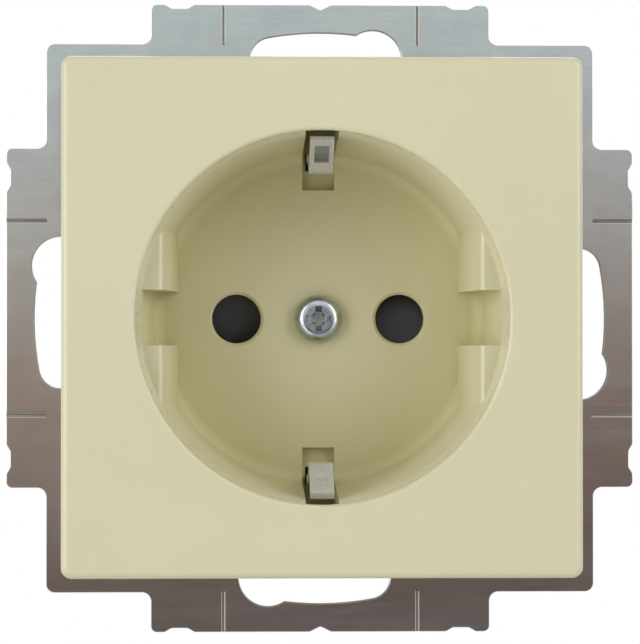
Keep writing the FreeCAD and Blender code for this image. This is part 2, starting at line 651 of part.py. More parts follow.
def make_rear_cover():
    """The plate over the chambers, with wire entries and release slots."""
    plate = prism("XZ", rectangle(BODY_HALF_WIDTH, BODY_HALF_HEIGHT, BODY_CORNER_RADIUS),
                  BODY_REAR_Y, REAR_Y)
    plate = softened(plate, REAR_EDGE_RADIUS, lambda b: b.YMin > REAR_Y - ON_PLANE)
    cuts = []
    radius = WIRE_HOLE_DIAMETER / 2
    for x, z in wire_places():
        cuts.append(rod(x, z, radius, BODY_REAR_Y - THROUGH, REAR_Y))
        cuts.append(funnel(x, z, radius, radius + WIRE_FUNNEL, REAR_Y - WIRE_FUNNEL, REAR_Y))
    release = CHAMBER_END - FREE_GAP - RELEASE_HEIGHT / 2
    half = RELEASE_WIDTH / 2
    for x, z in ((-PIN_X, -release), (PIN_X, -release), (0, release)):
        cuts.append(box(x - half, x + half, BODY_REAR_Y - THROUGH, REAR_Y + THROUGH,
                        z - RELEASE_HEIGHT / 2, z + RELEASE_HEIGHT / 2))
    shank = REAR_SCREW_DIAMETER / 2 + LOOSE_GAP
    head = REAR_SCREW_HEAD_DIAMETER / 2 + RUNNING_GAP
    for x in (-REAR_SCREW_X, REAR_SCREW_X):
        cuts.append(rod(x, REAR_SCREW_Z, shank, BODY_REAR_Y - THROUGH, REAR_Y))
        cuts.append(funnel(x, REAR_SCREW_Z, shank, head, REAR_Y - head + shank, REAR_Y))
    return plate.cut(cuts)


def make_rear_cover_screw(x):
    """A countersunk screw from the back into the body."""
    shank = REAR_SCREW_DIAMETER / 2
    head = REAR_SCREW_HEAD_DIAMETER / 2
    tip = REAR_Y - REAR_SCREW_LENGTH
    profile = [(0, tip, 0), (shank / 2, tip, 0), (shank, tip + shank, 0),
               (shank, REAR_Y - head + shank, 0), (head, REAR_Y, 0), (0, REAR_Y, 0)]
    recess = mirrored(cross_recess(head, head * RECESS_TAPER_SHARE, -REAR_Y), REARWARD)
    return moved(turned(profile).cut(recess), x=x, z=REAR_SCREW_Z)


def shutter_ramp():
    """A sloping trough in the shutter's face: a pin pushed down it turns the shutter."""
    half_way = PIN_X * math.sin(math.radians(SHUTTER_SWING / 2))
    landing = half_way + SHUTTER_OPENING_DIAMETER / 2
    front = SHUTTER_FRONT_Y
    corners = [(front - THROUGH, -landing, 0), (front, -landing, 0),
               (front + SHUTTER_THICKNESS * RAMP_SHARE, half_way, 0), (front - THROUGH, half_way, 0)]
    half_width = SHUTTER_OPENING_DIAMETER / 2
    trough = prism("YZ", corners, PIN_X - half_width, PIN_X + half_width)
    return turn(trough, -SHUTTER_SWING / 2)


def make_shutter():
    """The rotor that closes both pin holes until two pins push it round."""
    disc = rod(0, 0, SHUTTER_RADIUS, SHUTTER_FRONT_Y, SHUTTER_REAR_Y)
    front = SHUTTER_FRONT_Y - THROUGH
    rear = SHUTTER_REAR_Y + THROUGH
    cuts = [rod(0, 0, POST_RADIUS + RUNNING_GAP, front, rear)]
    for half_turn in (0, 180):
        cuts.append(turn(rod(PIN_X, 0, SHUTTER_OPENING_DIAMETER / 2, front, rear), half_turn))
        cuts.append(turn(shutter_ramp(), half_turn))
    closed = turn(disc.cut(cuts), SHUTTER_SWING)
    slack = STOP_SLACK_ANGLE
    notch = wedge(SHUTTER_RADIUS - STOP_DEPTH - FREE_GAP, SHUTTER_RADIUS + THROUGH,
                  90 - STOP_HALF_ANGLE - slack, 90 + STOP_HALF_ANGLE + SHUTTER_SWING + slack,
                  front, rear)
    floor = SHUTTER_REAR_Y - SPRING_WIRE - 2 * LOOSE_GAP
    seat = rod(0, 0, SPRING_COIL_RADIUS + SPRING_WIRE / 2 + LOOSE_GAP, floor, rear)
    hook = SPRING_WIRE / 2 + LOOSE_GAP
    leg = math.degrees(hook / POST_RADIUS)
    leg_room = wedge(POST_RADIUS, SPRING_LEG_RADIUS + SPRING_WIRE, SPRING_LEG_ANGLE - leg,
                     SPRING_LEG_ANGLE + SHUTTER_SWING + leg, floor, rear)
    hook_slot = box(0, SPRING_COIL_RADIUS + SPRING_HOOK + LOOSE_GAP, floor, rear, -hook, hook)
    return closed.cut([notch, seat, leg_room, turn(hook_slot, SPRING_LEG_ANGLE + SPRING_SWEEP)])


def make_shutter_spring():
    """An open ring of wire with two legs: one hooks in the shutter, one in the body."""
    radius = SPRING_WIRE / 2
    level = SHUTTER_REAR_Y - radius - LOOSE_GAP
    section = Part.Face(Part.Wire(Part.makeCircle(
        radius, FreeCAD.Vector(SPRING_COIL_RADIUS, level, 0), UP)))
    coil = section.revolve(ORIGIN, FORWARD, SPRING_SWEEP)
    outward = FreeCAD.Vector(1, 0, 0)
    start = FreeCAD.Vector(SPRING_COIL_RADIUS, level, 0)
    leg_end = FreeCAD.Vector(SPRING_LEG_RADIUS, level, 0)
    leg = Part.makeCylinder(radius, SPRING_LEG_RADIUS - SPRING_COIL_RADIUS, start, outward)
    foot = rod(SPRING_LEG_RADIUS, 0, radius, level, WEB_FRONT_Y + BODY_WEB / 2 - LOOSE_GAP)
    hook = Part.makeCylinder(radius, SPRING_HOOK, start, outward)
    knees = [Part.makeSphere(radius, place) for place in (start, leg_end)]
    hook_end = fused(hook, Part.makeSphere(radius, start))
    spring = fused(coil, leg, foot, *knees, turn(hook_end, SPRING_SWEEP))
    return turn(spring, SPRING_LEG_ANGLE)


def clip_path():
    """Middle line of the upper half of the earth strip, from its tip to the strap."""
    return [(CLIP_TIP_Y, DISH_MOUTH_RADIUS - CLIP_SHEET / 2, 0),
            (CLIP_BULGE_Y, CLIP_BULGE_RADIUS + CLIP_SHEET / 2, CLIP_BULGE_BEND),
            (CLIP_BULGE_Y + CLIP_BACK_LENGTH, CLIP_ARM_RADIUS, CLIP_BACK_BEND),
            (STRAP_MIDDLE_Y, CLIP_ARM_RADIUS, STRAP_BEND)]


def clip_dimple():
    """The square pressed into the slope between the upper clip's tip and its bulge."""
    (tip_y, tip_z, _), (bulge_y, bulge_z, _) = clip_path()[:2]
    slope = math.atan2(bulge_z - tip_z, bulge_y - tip_y)
    half = CLIP_DIMPLE / 2
    block = box(-half, half, -half, half, -THROUGH, 0)
    block = turn(block, math.degrees(slope), axis=FreeCAD.Vector(1, 0, 0))
    lift = CLIP_SHEET / 2 - CLIP_DIMPLE_DEPTH
    return moved(block, y=(tip_y + bulge_y) / 2 + lift * math.sin(slope),
                 z=(tip_z + bulge_z) / 2 - lift * math.cos(slope))


def make_earth_bracket():
    """One bent strip: two side earth clips, the strap with its thread and the wire bar."""
    upper = clip_path()
    lower = [(y, -z, bend) for y, z, bend in reversed(upper)]
    band = strip("YZ", upper + lower, CLIP_SHEET, -CLIP_HALF_WIDTH, CLIP_HALF_WIDTH)
    strap_rear = WEB_REAR_Y + CLIP_SHEET
    eye = rod(0, 0, POST_RADIUS - FREE_GAP, WEB_REAR_Y, strap_rear)
    collar = rod(0, 0, POST_RADIUS - 2 * FREE_GAP, WEB_REAR_Y, strap_rear + SCREW_THREAD_LENGTH)
    tail = [(STRAP_MIDDLE_Y, BAR_MIDDLE_Z - BAR_TAIL, 0),
            (STRAP_MIDDLE_Y, BAR_MIDDLE_Z, CONTACT_SHEET),
            (BRIDGE_FRONT_Y - THROUGH, BAR_MIDDLE_Z, 0)]
    bar = strip("YZ", tail, CLIP_SHEET, -BAR_WIDTH / 2, BAR_WIDTH / 2)
    body = fused(band, eye, collar, bar)
    hole = rod(0, 0, SCREW_SHANK_RADIUS + RUNNING_GAP, WEB_REAR_Y - THROUGH,
               strap_rear + SCREW_THREAD_LENGTH + THROUGH)
    dimple = clip_dimple()
    return body.cut([hole, dimple, mirrored(dimple, UP)])


def make_contact(x):
    """A pin fork and its wire bar, bent from one sheet."""
    sheet = CONTACT_SHEET
    leaf = CONTACT_GAP / 2 + sheet / 2
    bridge = BRIDGE_FRONT_Y + sheet / 2
    mouth = WEB_REAR_Y + FREE_GAP
    flare = mouth + 2 * CONTACT_FLARE
    fork = [(x - leaf - CONTACT_FLARE, mouth, 0), (x - leaf, flare, sheet),
            (x - leaf, bridge, sheet), (x + leaf, bridge, sheet),
            (x + leaf, flare, sheet), (x + leaf + CONTACT_FLARE, mouth, 0)]
    fork = strip("XY", fork, sheet, -CONTACT_HEIGHT / 2, CONTACT_HEIGHT / 2)
    angle = [(bridge, CONTACT_HEIGHT / 2, 0), (bridge, -BAR_MIDDLE_Z, sheet),
             (mouth, -BAR_MIDDLE_Z, 0)]
    bar = strip("YZ", angle, sheet, x - BAR_WIDTH / 2, x + BAR_WIDTH / 2)
    return fused(fork, bar)


def make_contact_spring(x):
    """A steel clip that presses the two leaves of a fork together."""
    leaf = CONTACT_GAP / 2 + CONTACT_SHEET + RUNNING_GAP + BAND_SHEET / 2
    top = CONTACT_HEIGHT / 2 + LOOSE_GAP + BAND_SHEET / 2
    bend = BAND_SHEET / 3
    path = [(x - leaf, -CONTACT_HEIGHT / 2, 0), (x - leaf, top, bend),
            (x + leaf, top, bend), (x + leaf, -CONTACT_HEIGHT / 2, 0)]
    middle = (WEB_REAR_Y + BRIDGE_FRONT_Y) / 2
    return strip("XZ", path, BAND_SHEET, middle - BAND_WIDTH / 2, middle + BAND_WIDTH / 2)


def make_clamp_spring(x, side):
    """A folded leaf spring that presses two wires on a bar; side is 1 up or -1 down."""
    sheet = CLAMP_SHEET
    back = CHAMBER_END - sheet / 2
    tip_z = BAR_MIDDLE_Z + CONTACT_SHEET / 2 + FREE_GAP + sheet / 2
    fold_y = BODY_REAR_Y - CLAMP_FOLD_GAP
    tip_y = fold_y - CLAMP_LEAN * (back - tip_z)
    path = [(fold_y - CLAMP_LEG, side * back, 0), (fold_y, side * back, sheet),
            (tip_y, side * tip_z, 0)]
    half = BAR_WIDTH / 2 - LOOSE_GAP
    leaf = strip("YZ", path, sheet, x - half, x + half)
    low, high = sorted((side * (tip_z - sheet), side * (back - sheet)))
    slit = box(x - FREE_GAP, x + FREE_GAP, tip_y - THROUGH, fold_y - CLAMP_FOLD_GAP, low, high)
    return leaf.cut(slit)


def claw_outline():
    """A claw's cheek, from its pivot, with the teeth on its outer rear edge."""
    eye = CLAW_EYE_RADIUS
    corners = [(-eye, -eye, eye * EYE_ROUNDING_SHARE), (CLAW_REACH, -CLAW_SHEET, CLAW_SHEET)]
    tooth = CLAW_LENGTH - TOOTH_COUNT * TOOTH_PITCH
    corners.append((CLAW_REACH - TOOTH_DEPTH / 2, tooth, 0))
    for index in range(TOOTH_COUNT):
        corners.append((CLAW_REACH - TOOTH_DEPTH, tooth + index * TOOTH_PITCH, 0))
        corners.append((CLAW_REACH, tooth + (index + 1) * TOOTH_PITCH, 0))
    corners += [(CLAW_TAIL, CLAW_LENGTH, CLAW_SHEET / 2),
                (CLAW_WAIST, CLAW_LUG_RADIUS - CLAW_SHEET, 2 * CLAW_SHEET),
                (CLAW_SHEET, eye, CLAW_SHEET), (-eye, eye, eye * EYE_ROUNDING_SHARE)]
    return corners


def make_claw(side):
    """A spreading claw bent from sheet, drawn square and then turned in to rest."""
    outer = CLAW_CHEEK + CLAW_SHEET
    cheek = prism("XY", claw_outline(), CLAW_CHEEK, outer)
    lug = box(CLAW_LUG_RADIUS - LUG_HALF_LENGTH, CLAW_REACH, -CLAW_SHEET / 2, CLAW_SHEET / 2,
              -CLAW_CHEEK, CLAW_CHEEK)
    whole = prism("XY", claw_outline(), -CLAW_CHEEK, CLAW_CHEEK)
    web_start = CLAW_LUG_RADIUS + CLAW_SHEET / 2
    web = whole.common(box(CLAW_REACH - CLAW_SHEET, CLAW_REACH + THROUGH, web_start,
                           CLAW_LENGTH + THROUGH, -CLAW_CHEEK, CLAW_CHEEK))
    body = fused(cheek, mirrored(cheek, UP), lug, web)
    eye = Part.makeCylinder(CLAW_PIN_DIAMETER / 2 + RUNNING_GAP, 2 * outer + 2 * THROUGH,
                            FreeCAD.Vector(0, 0, -outer - THROUGH), UP)
    sway = CLAW_LUG_RADIUS * (1 - math.cos(CLAW_HALF_SWING)) / 2
    tilt = CLAW_SHEET / 2 * math.sin(CLAW_HALF_SWING)
    bore = (CLAW_SCREW_DIAMETER / 2 + RUNNING_GAP + sway + tilt) / math.cos(CLAW_HALF_SWING)
    body = body.cut([eye, rod(CLAW_LUG_RADIUS, 0, bore, -CLAW_SHEET, CLAW_SHEET)])
    claw = moved(turn(body, CLAW_SWING / 2, axis=UP), x=CLAW_PIVOT_X, y=CLAW_PIVOT_Y)
    return claw if side > 0 else mirrored(claw, FreeCAD.Vector(1, 0, 0))


def make_claw_pin(side):
    """The pin that a claw turns on, held in the body."""
    length = CLAW_PIN_LENGTH - LOOSE_GAP
    return Part.makeCylinder(CLAW_PIN_DIAMETER / 2, length,
                             FreeCAD.Vector(side * CLAW_PIVOT_X, CLAW_PIVOT_Y, -length / 2), UP)


def make_claw_screw(side):
    """The screw from the ring's front that draws a claw's lug forward."""
    tip = CLAW_PIVOT_Y + CLAW_LUG_RADIUS - CLAW_SHEET
    screw = pan_screw(CLAW_SCREW_HEAD_DIAMETER, CLAW_SCREW_HEAD_HEIGHT, CLAW_SCREW_DIAMETER,
                      SCREW_RECESS_WIDTH, RING_FRONT_Y, tip)
    return moved(screw, x=side * CLAW_SCREW_X)


def make_parts():
    """Every piece by its node's name."""
    parts = {
        "cover_plate": make_cover_plate(),
        "cover_screw": make_cover_screw(),
        "mounting_ring": make_mounting_ring(),
        "base_body": make_base_body(),
        "rear_cover": make_rear_cover(),
        "shutter": make_shutter(),
        "shutter_spring": make_shutter_spring(),
        "earth_bracket": make_earth_bracket(),
        "clamp_spring_earth": make_clamp_spring(0, 1),
    }
    for name, x in (("live", -PIN_X), ("neutral", PIN_X)):
        parts["contact_" + name] = make_contact(x)
        parts["contact_spring_" + name] = make_contact_spring(x)
        parts["clamp_spring_" + name] = make_clamp_spring(x, -1)
    for name, side in (("left", -1), ("right", 1)):
        parts["claw_" + name] = make_claw(side)
        parts["claw_pin_" + name] = make_claw_pin(side)
        parts["claw_screw_" + name] = make_claw_screw(side)
        parts["rear_cover_screw_" + name] = make_rear_cover_screw(side * REAR_SCREW_X)
    for name, (x, z) in zip(("top_left", "top_right", "bottom_left", "bottom_right"),
                            corner_places()):
        parts["ring_rivet_" + name] = make_ring_rivet(x, z)
    return parts


def main():
    """Builds the pieces and writes one file for each."""
    os.makedirs("parts", exist_ok=True)
    for name, shape in make_parts().items():
        if not shape.isValid() or len(shape.Solids) != 1:
            raise ValueError("%s: %d solids, valid %s" % (name, len(shape.Solids), shape.isValid()))
        shape.Solids[0].exportStep("parts/%s.step" % name)
        print("%-26s %10.2f mm3" % (name, shape.Volume))


main()
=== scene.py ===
"""Looks of a recessed type F wall socket insert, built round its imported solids."""

import logging
import math
from dataclasses import dataclass, field
from enum import Enum
from functools import cache
from typing import Optional, Union

import bmesh
import bpy
from mathutils import Matrix, Vector


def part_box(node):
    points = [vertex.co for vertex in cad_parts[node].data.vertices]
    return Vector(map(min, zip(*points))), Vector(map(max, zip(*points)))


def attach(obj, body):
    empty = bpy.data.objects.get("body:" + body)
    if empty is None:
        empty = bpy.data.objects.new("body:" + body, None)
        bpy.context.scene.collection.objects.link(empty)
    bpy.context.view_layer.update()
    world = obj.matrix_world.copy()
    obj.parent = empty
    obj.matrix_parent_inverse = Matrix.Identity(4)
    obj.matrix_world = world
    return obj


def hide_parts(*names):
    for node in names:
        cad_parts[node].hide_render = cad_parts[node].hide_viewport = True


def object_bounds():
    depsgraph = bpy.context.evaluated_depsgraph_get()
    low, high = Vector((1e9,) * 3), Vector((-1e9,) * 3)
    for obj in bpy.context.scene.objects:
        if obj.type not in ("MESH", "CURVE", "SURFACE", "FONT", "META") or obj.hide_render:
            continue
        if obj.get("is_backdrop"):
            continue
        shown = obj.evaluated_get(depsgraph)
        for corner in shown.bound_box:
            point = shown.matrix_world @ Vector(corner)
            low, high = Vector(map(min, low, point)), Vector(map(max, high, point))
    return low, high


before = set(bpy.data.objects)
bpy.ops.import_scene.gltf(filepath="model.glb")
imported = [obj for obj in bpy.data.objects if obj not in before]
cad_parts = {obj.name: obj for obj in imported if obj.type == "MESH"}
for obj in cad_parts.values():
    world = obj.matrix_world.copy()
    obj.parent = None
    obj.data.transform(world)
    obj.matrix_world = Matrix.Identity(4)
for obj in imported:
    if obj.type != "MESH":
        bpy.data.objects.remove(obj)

LOG = logging.getLogger("socket")
MM = 0.001
SAME_POINT = 1e-6
FLAT_ANGLE = math.radians(0.4)
SHARP_ANGLE = math.radians(35)
BEVEL_ANGLE = math.radians(60)

Place = tuple[float, float, float]
Span = tuple[float, float]
Colour = tuple[float, float, float, float]
Stops = tuple[tuple[float, Colour], ...]
Socket = bpy.types.NodeSocket
Value = Union[float, Socket]

WHITE: Colour = (1.0, 1.0, 1.0, 1.0)


def srgb(red: int, green: int, blue: int) -> Colour:
    """Gives a display colour as the linear colour that Blender works in.

    Args:
        red: red, 0 to 255.
        green: green, 0 to 255.
        blue: blue, 0 to 255.

    Returns:
        The linear colour with an alpha of one.
    """
    channels = []
    for value in (red, green, blue):
        share = value / 255
        low = share / 12.92
        high = ((share + 0.055) / 1.055) ** 2.4
        channels.append(low if share <= 0.04045 else high)
    return (channels[0], channels[1], channels[2], 1.0)


def in_metres(place: Place) -> Place:
    """Turns millimetres into metres."""
    return (place[0] * MM, place[1] * MM, place[2] * MM)


def in_scene(name: str, data: bpy.types.ID) -> bpy.types.Object:
    """Makes an object and links it to the scene.

    Args:
        name: the object's name.
        data: its mesh, light or camera.

    Returns:
        The new object.
    """
    made = bpy.data.objects.new(name, data)
    bpy.context.scene.collection.objects.link(made)
    return made


def into_mesh(name: str, build: bmesh.types.BMesh) -> bpy.types.Mesh:
    """Writes a build into a new mesh and frees the build.

    Args:
        name: the mesh's name.
        build: the build.

    Returns:
        The new mesh.
    """
    mesh = bpy.data.meshes.new(name)
    build.to_mesh(mesh)
    build.free()
    return mesh


def shade(mesh: bpy.types.Mesh) -> None:
    """Shades a mesh smooth between its sharp edges."""
    mesh.shade_smooth()
    mesh.set_sharp_from_angle(angle=SHARP_ANGLE)


class Direction(Enum):
    """The axis that a finish's lines run along, as scales of X, Y and Z."""

    ACROSS = (0.06, 1.0, 1.0)
    DEEP = (1.0, 0.06, 1.0)


class Graph:
    """A node tree with short calls for adding and joining nodes."""

    def __init__(self, tree: bpy.types.NodeTree) -> None:
        """Keeps the tree that the calls work on."""
        self.tree = tree
        self.column = 0

    def add(self, kind: str, **settings: object) -> bpy.types.Node:
        """Adds one node.

        Args:
            kind: the node's Blender type.
            settings: properties to set on it.

        Returns:
            The new node.
        """
        node = self.tree.nodes.new(kind)
        for name, value in settings.items():
            setattr(node, name, value)
        node.location = (self.column * 180, 0)
        self.column += 1
        return node

    def feed(self, target: Socket, value: Union[Value, Colour, Place]) -> None:
        """Links a socket to another, or sets its own value.

        Args:
            target: the input socket.
            value: an output socket, or a plain value.
        """
        if isinstance(value, bpy.types.NodeSocket):
            self.tree.links.new(value, target)
        else:
            target.default_value = value

    def math(self, operation: str, first: Value, second: Value = 0.0,
             clamp: bool = False) -> Socket:
        """Works out one value from two.

        Args:
            operation: the Math node's operation.
            first: the first value.
            second: the second value.
            clamp: whether the result stays between 0 and 1.

        Returns:
            The result's socket.
        """
        node = self.add("ShaderNodeMath", operation=operation, use_clamp=clamp)
        self.feed(node.inputs[0], first)
        self.feed(node.inputs[1], second)
        return node.outputs[0]

    def times(self, *values: Value) -> Socket:
        """Multiplies values, and holds the result between 0 and 1.

        Args:
            values: two values or more.

        Returns:
            The result's socket.
        """
        product = values[0]
        for value in values[1:]:
            product = self.math("MULTIPLY", product, value, clamp=True)
        return product

    def mix(self, factor: Value, first: Union[Socket, Colour],
            second: Union[Socket, Colour], blend: str = "MIX") -> Socket:
        """Mixes two colours.

        Args:
            factor: the share of the second colour.
            first: the first colour.
            second: the second colour.
            blend: the blend type.

        Returns:
            The mixed colour's socket.
        """
        node = self.add("ShaderNodeMix", data_type="RGBA", blend_type=blend)
        self.feed(node.inputs[0], factor)
        self.feed(node.inputs[6], first)
        self.feed(node.inputs[7], second)
        return node.outputs[2]

    def remap(self, value: Value, span: Span, result: Span = (0.0, 1.0)) -> Socket:
        """Stretches a value from one range to another, held at its ends.

        Args:
            value: the value.
            span: the two values that give the ends of the result.
            result: the ends of the result.

        Returns:
            The result's socket.
        """
        node = self.add("ShaderNodeMapRange", clamp=True)
        self.feed(node.inputs[0], value)
        for index, limit in enumerate(span + result, start=1):
            node.inputs[index].default_value = limit
        return node.outputs[0]

    def noise(self, vector: Socket, scale: Value, detail: float = 3.0,
              roughness: float = 0.5) -> Socket:
        """Adds noise.

        Args:
            vector: the coordinates.
            scale: cells per metre.
            detail: octaves.
            roughness: how much the fine octaves count.

        Returns:
            The noise value's socket.
        """
        node = self.add("ShaderNodeTexNoise")
        self.feed(node.inputs["Vector"], vector)
        self.feed(node.inputs["Scale"], scale)
        node.inputs["Detail"].default_value = detail
        node.inputs["Roughness"].default_value = roughness
        return node.outputs["Fac"]

    def hollow(self, reach: float, span: Span) -> Socket:
        """Finds places that are closed in.

        Args:
            reach: how far the neighbours count, in metres.
            span: the open share that gives 0, and the one that gives 1.

        Returns:
            The mask's socket.
        """
        node = self.add("ShaderNodeAmbientOcclusion", samples=6)
        node.inputs["Distance"].default_value = reach
        return self.remap(node.outputs["AO"], span)

    def split(self, vector: Socket) -> bpy.types.NodeOutputs:
        """Splits a vector.

        Args:
            vector: the vector's socket.

        Returns:
            Its three parts, by the names X, Y and Z.
        """
        node = self.add("ShaderNodeSeparateXYZ")
        self.feed(node.inputs[0], vector)
        return node.outputs

    def stretched(self, vector: Socket, scale: Place) -> Socket:
        """Scales coordinates along each axis.

        Args:
            vector: the coordinates.
            scale: the factor along X, Y and Z.

        Returns:
            The scaled coordinates' socket.
        """
        node = self.add("ShaderNodeMapping")
        self.feed(node.inputs["Vector"], vector)
        node.inputs["Scale"].default_value = scale
        return node.outputs["Vector"]

    def ramp(self, value: Socket, stops: Stops) -> Socket:
        """Colours a value by stops.

        Args:
            value: the value's socket.
            stops: values and their colours, from low to high.

        Returns:
            The colour's socket.
        """
        low, high = stops[0][0], stops[-1][0]
        node = self.add("ShaderNodeValToRGB")
        self.feed(node.inputs["Fac"], self.remap(value, (low, high)))
        while len(node.color_ramp.elements) < len(stops):
            node.color_ramp.elements.new(0.5)
        for element, (place, colour) in zip(node.color_ramp.elements, stops):
            element.position = (place - low) / (high - low)
            element.color = colour
        return node.outputs["Color"]


@dataclass(frozen=True)
class Port:
    """One named socket of a shared effect."""

    name: str
    kind: str
    start: Optional[float] = None


FLOAT = "NodeSocketFloat"
VECTOR = "NodeSocketVector"
COLOUR = "NodeSocketColor"


class Effect:
    """A shared effect: a shader node group that is built once and placed in materials."""

    title: str
    inputs: tuple[Port, ...]
    outputs: tuple[Port, ...]

    def group(self) -> bpy.types.NodeTree:
        """Gives the effect's node group, building it on first use.

        Returns:
            The node group.
        """
        known = bpy.data.node_groups.get(self.title)
        if known is not None:
            return known
        tree = bpy.data.node_groups.new(self.title, "ShaderNodeTree")
        for port in self.inputs:
            socket = tree.interface.new_socket(port.name, in_out="INPUT", socket_type=port.kind)
            if port.start is not None:
                socket.default_value = port.start
        for port in self.outputs:
            tree.interface.new_socket(port.name, in_out="OUTPUT", socket_type=port.kind)
        graph = Graph(tree)
        entry = graph.add("NodeGroupInput")
        results = self.wire(graph, entry)
        leave = graph.add("NodeGroupOutput")
        for name, socket in results.items():
            graph.feed(leave.inputs[name], socket)
        return tree

    def wire(self, graph: Graph, entry: bpy.types.Node) -> dict[str, Socket]:
        """Builds the group's inside.

        Args:
            graph: the group's tree.
            entry: the group's input node.

        Returns:
            Each output's socket by its name.
        """
        raise NotImplementedError

    def place(self, graph: Graph, **values: Union[Value, Colour, Place]) -> bpy.types.NodeOutputs:
        """Puts the effect in a material.

        Args:
            graph: the material's tree.
            values: inputs by name, with underscores for spaces.

        Returns:
            The group node's outputs.
        """
        node = graph.add("ShaderNodeGroup")
        node.node_tree = self.group()
        for name, value in values.items():
            graph.feed(node.inputs[name.replace("_", " ")], value)
        return node.outputs


class MouldGrain(Effect):
    """The fine grain that a spark-eroded mould leaves on plastic."""

    title = "mould_grain"
    inputs = (Port("Vector", VECTOR), Port("Scale", FLOAT, 4000.0))
    outputs = (Port("Height", FLOAT), Port("Mask", FLOAT))
    coarse_scale = 0.12
    coarse_share = 0.1
    cloud = (0.35, 0.65)

    def wire(self, graph: Graph, entry: bpy.types.Node) -> dict[str, Socket]:
        """Joins a fine and a coarse noise.

        Args:
            graph: the group's tree.
            entry: the group's input node.

        Returns:
            The grain's height, and a mask of its coarse clouds.
        """
        vector = entry.outputs["Vector"]
        scale = entry.outputs["Scale"]
        fine = graph.noise(vector, scale, detail=2.0)
        coarse = graph.noise(vector, graph.math("MULTIPLY", scale, self.coarse_scale))
        height = graph.math("ADD", graph.math("MULTIPLY", fine, 1 - self.coarse_share),
                            graph.math("MULTIPLY", coarse, self.coarse_share))
        return {"Height": height, "Mask": graph.remap(coarse, self.cloud)}


class ColourDrift(Effect):
    """A slow drift between two tones of one colour."""

    title = "colour_drift"
    inputs = (Port("Vector", VECTOR), Port("Tone", COLOUR), Port("Other Tone", COLOUR),
              Port("Scale", FLOAT, 30.0))
    outputs = (Port("Color", COLOUR),)
    cloud = (0.3, 0.7)

    def wire(self, graph: Graph, entry: bpy.types.Node) -> dict[str, Socket]:
        """Mixes the tones by a soft noise.

        Args:
            graph: the group's tree.
            entry: the group's input node.

        Returns:
            The drifting colour.
        """
        noise = graph.noise(entry.outputs["Vector"], entry.outputs["Scale"], detail=4.0,
                            roughness=0.6)
        return {"Color": graph.mix(graph.remap(noise, self.cloud), entry.outputs["Tone"],
                                   entry.outputs["Other Tone"])}


class EdgeWear(Effect):
    """A mask of the edges that handling rubs bright."""

    title = "edge_wear"
    inputs = (Port("Vector", VECTOR), Port("Scale", FLOAT, 900.0), Port("Amount", FLOAT, 1.0))
    outputs = (Port("Mask", FLOAT),)
    width = 0.35 * MM
    bend = (0.985, 0.86)
    patches = (0.38, 0.6)

    def wire(self, graph: Graph, entry: bpy.types.Node) -> dict[str, Socket]:
        """Compares the rounded normal with the true one, broken up by noise.

        Args:
            graph: the group's tree.
            entry: the group's input node.

        Returns:
            The mask of rubbed edges.
        """
        bevel = graph.add("ShaderNodeBevel", samples=4)
        bevel.inputs["Radius"].default_value = self.width
        flat = graph.add("ShaderNodeNewGeometry")
        dot = graph.add("ShaderNodeVectorMath", operation="DOT_PRODUCT")
        graph.feed(dot.inputs[0], bevel.outputs["Normal"])
        graph.feed(dot.inputs[1], flat.outputs["Normal"])
        edge = graph.remap(dot.outputs["Value"], self.bend)
        noise = graph.noise(entry.outputs["Vector"], entry.outputs["Scale"])
        return {"Mask": graph.times(edge, graph.remap(noise, self.patches),
                                    entry.outputs["Amount"])}


class RollingLines(Effect):
    """Fine lines that rolling or brushing leaves in sheet metal."""

    title = "rolling_lines"
    inputs = (Port("Vector", VECTOR), Port("Scale", FLOAT, 2600.0))
    outputs = (Port("Height", FLOAT), Port("Mask", FLOAT))
    broad_scale = 0.11
    bands = (0.36, 0.64)

    def wire(self, graph: Graph, entry: bpy.types.Node) -> dict[str, Socket]:
        """Joins thin streaks with broader bands.

        Args:
            graph: the group's tree.
            entry: the group's input node.

        Returns:
            The lines' height, and a mask of lines and bands.
        """
        vector = entry.outputs["Vector"]
        scale = entry.outputs["Scale"]
        thin = graph.noise(vector, scale, roughness=0.65)
        broad = graph.noise(vector, graph.math("MULTIPLY", scale, self.broad_scale))
        mean = graph.math("MULTIPLY", graph.math("ADD", thin, broad), 0.5)
        return {"Height": thin, "Mask": graph.remap(mean, self.bands)}


class SettledDust(Effect):
    """A thin film that gathers in corners."""

    title = "settled_dust"
    inputs = (Port("Vector", VECTOR), Port("Scale", FLOAT, 500.0), Port("Amount", FLOAT, 1.0))
    outputs = (Port("Mask", FLOAT),)
    reach = 2.5 * MM
    closed = (0.85, 0.35)
    specks = (0.35, 0.62)

    def wire(self, graph: Graph, entry: bpy.types.Node) -> dict[str, Socket]:
        """Finds corners by occlusion and breaks them up by noise.

        Args:
            graph: the group's tree.
            entry: the group's input node.

        Returns:
            The mask of the film.
        """
        noise = graph.noise(entry.outputs["Vector"], entry.outputs["Scale"], detail=5.0,
                            roughness=0.7)
        return {"Mask": graph.times(graph.hollow(self.reach, self.closed),
                                    graph.remap(noise, self.specks), entry.outputs["Amount"])}


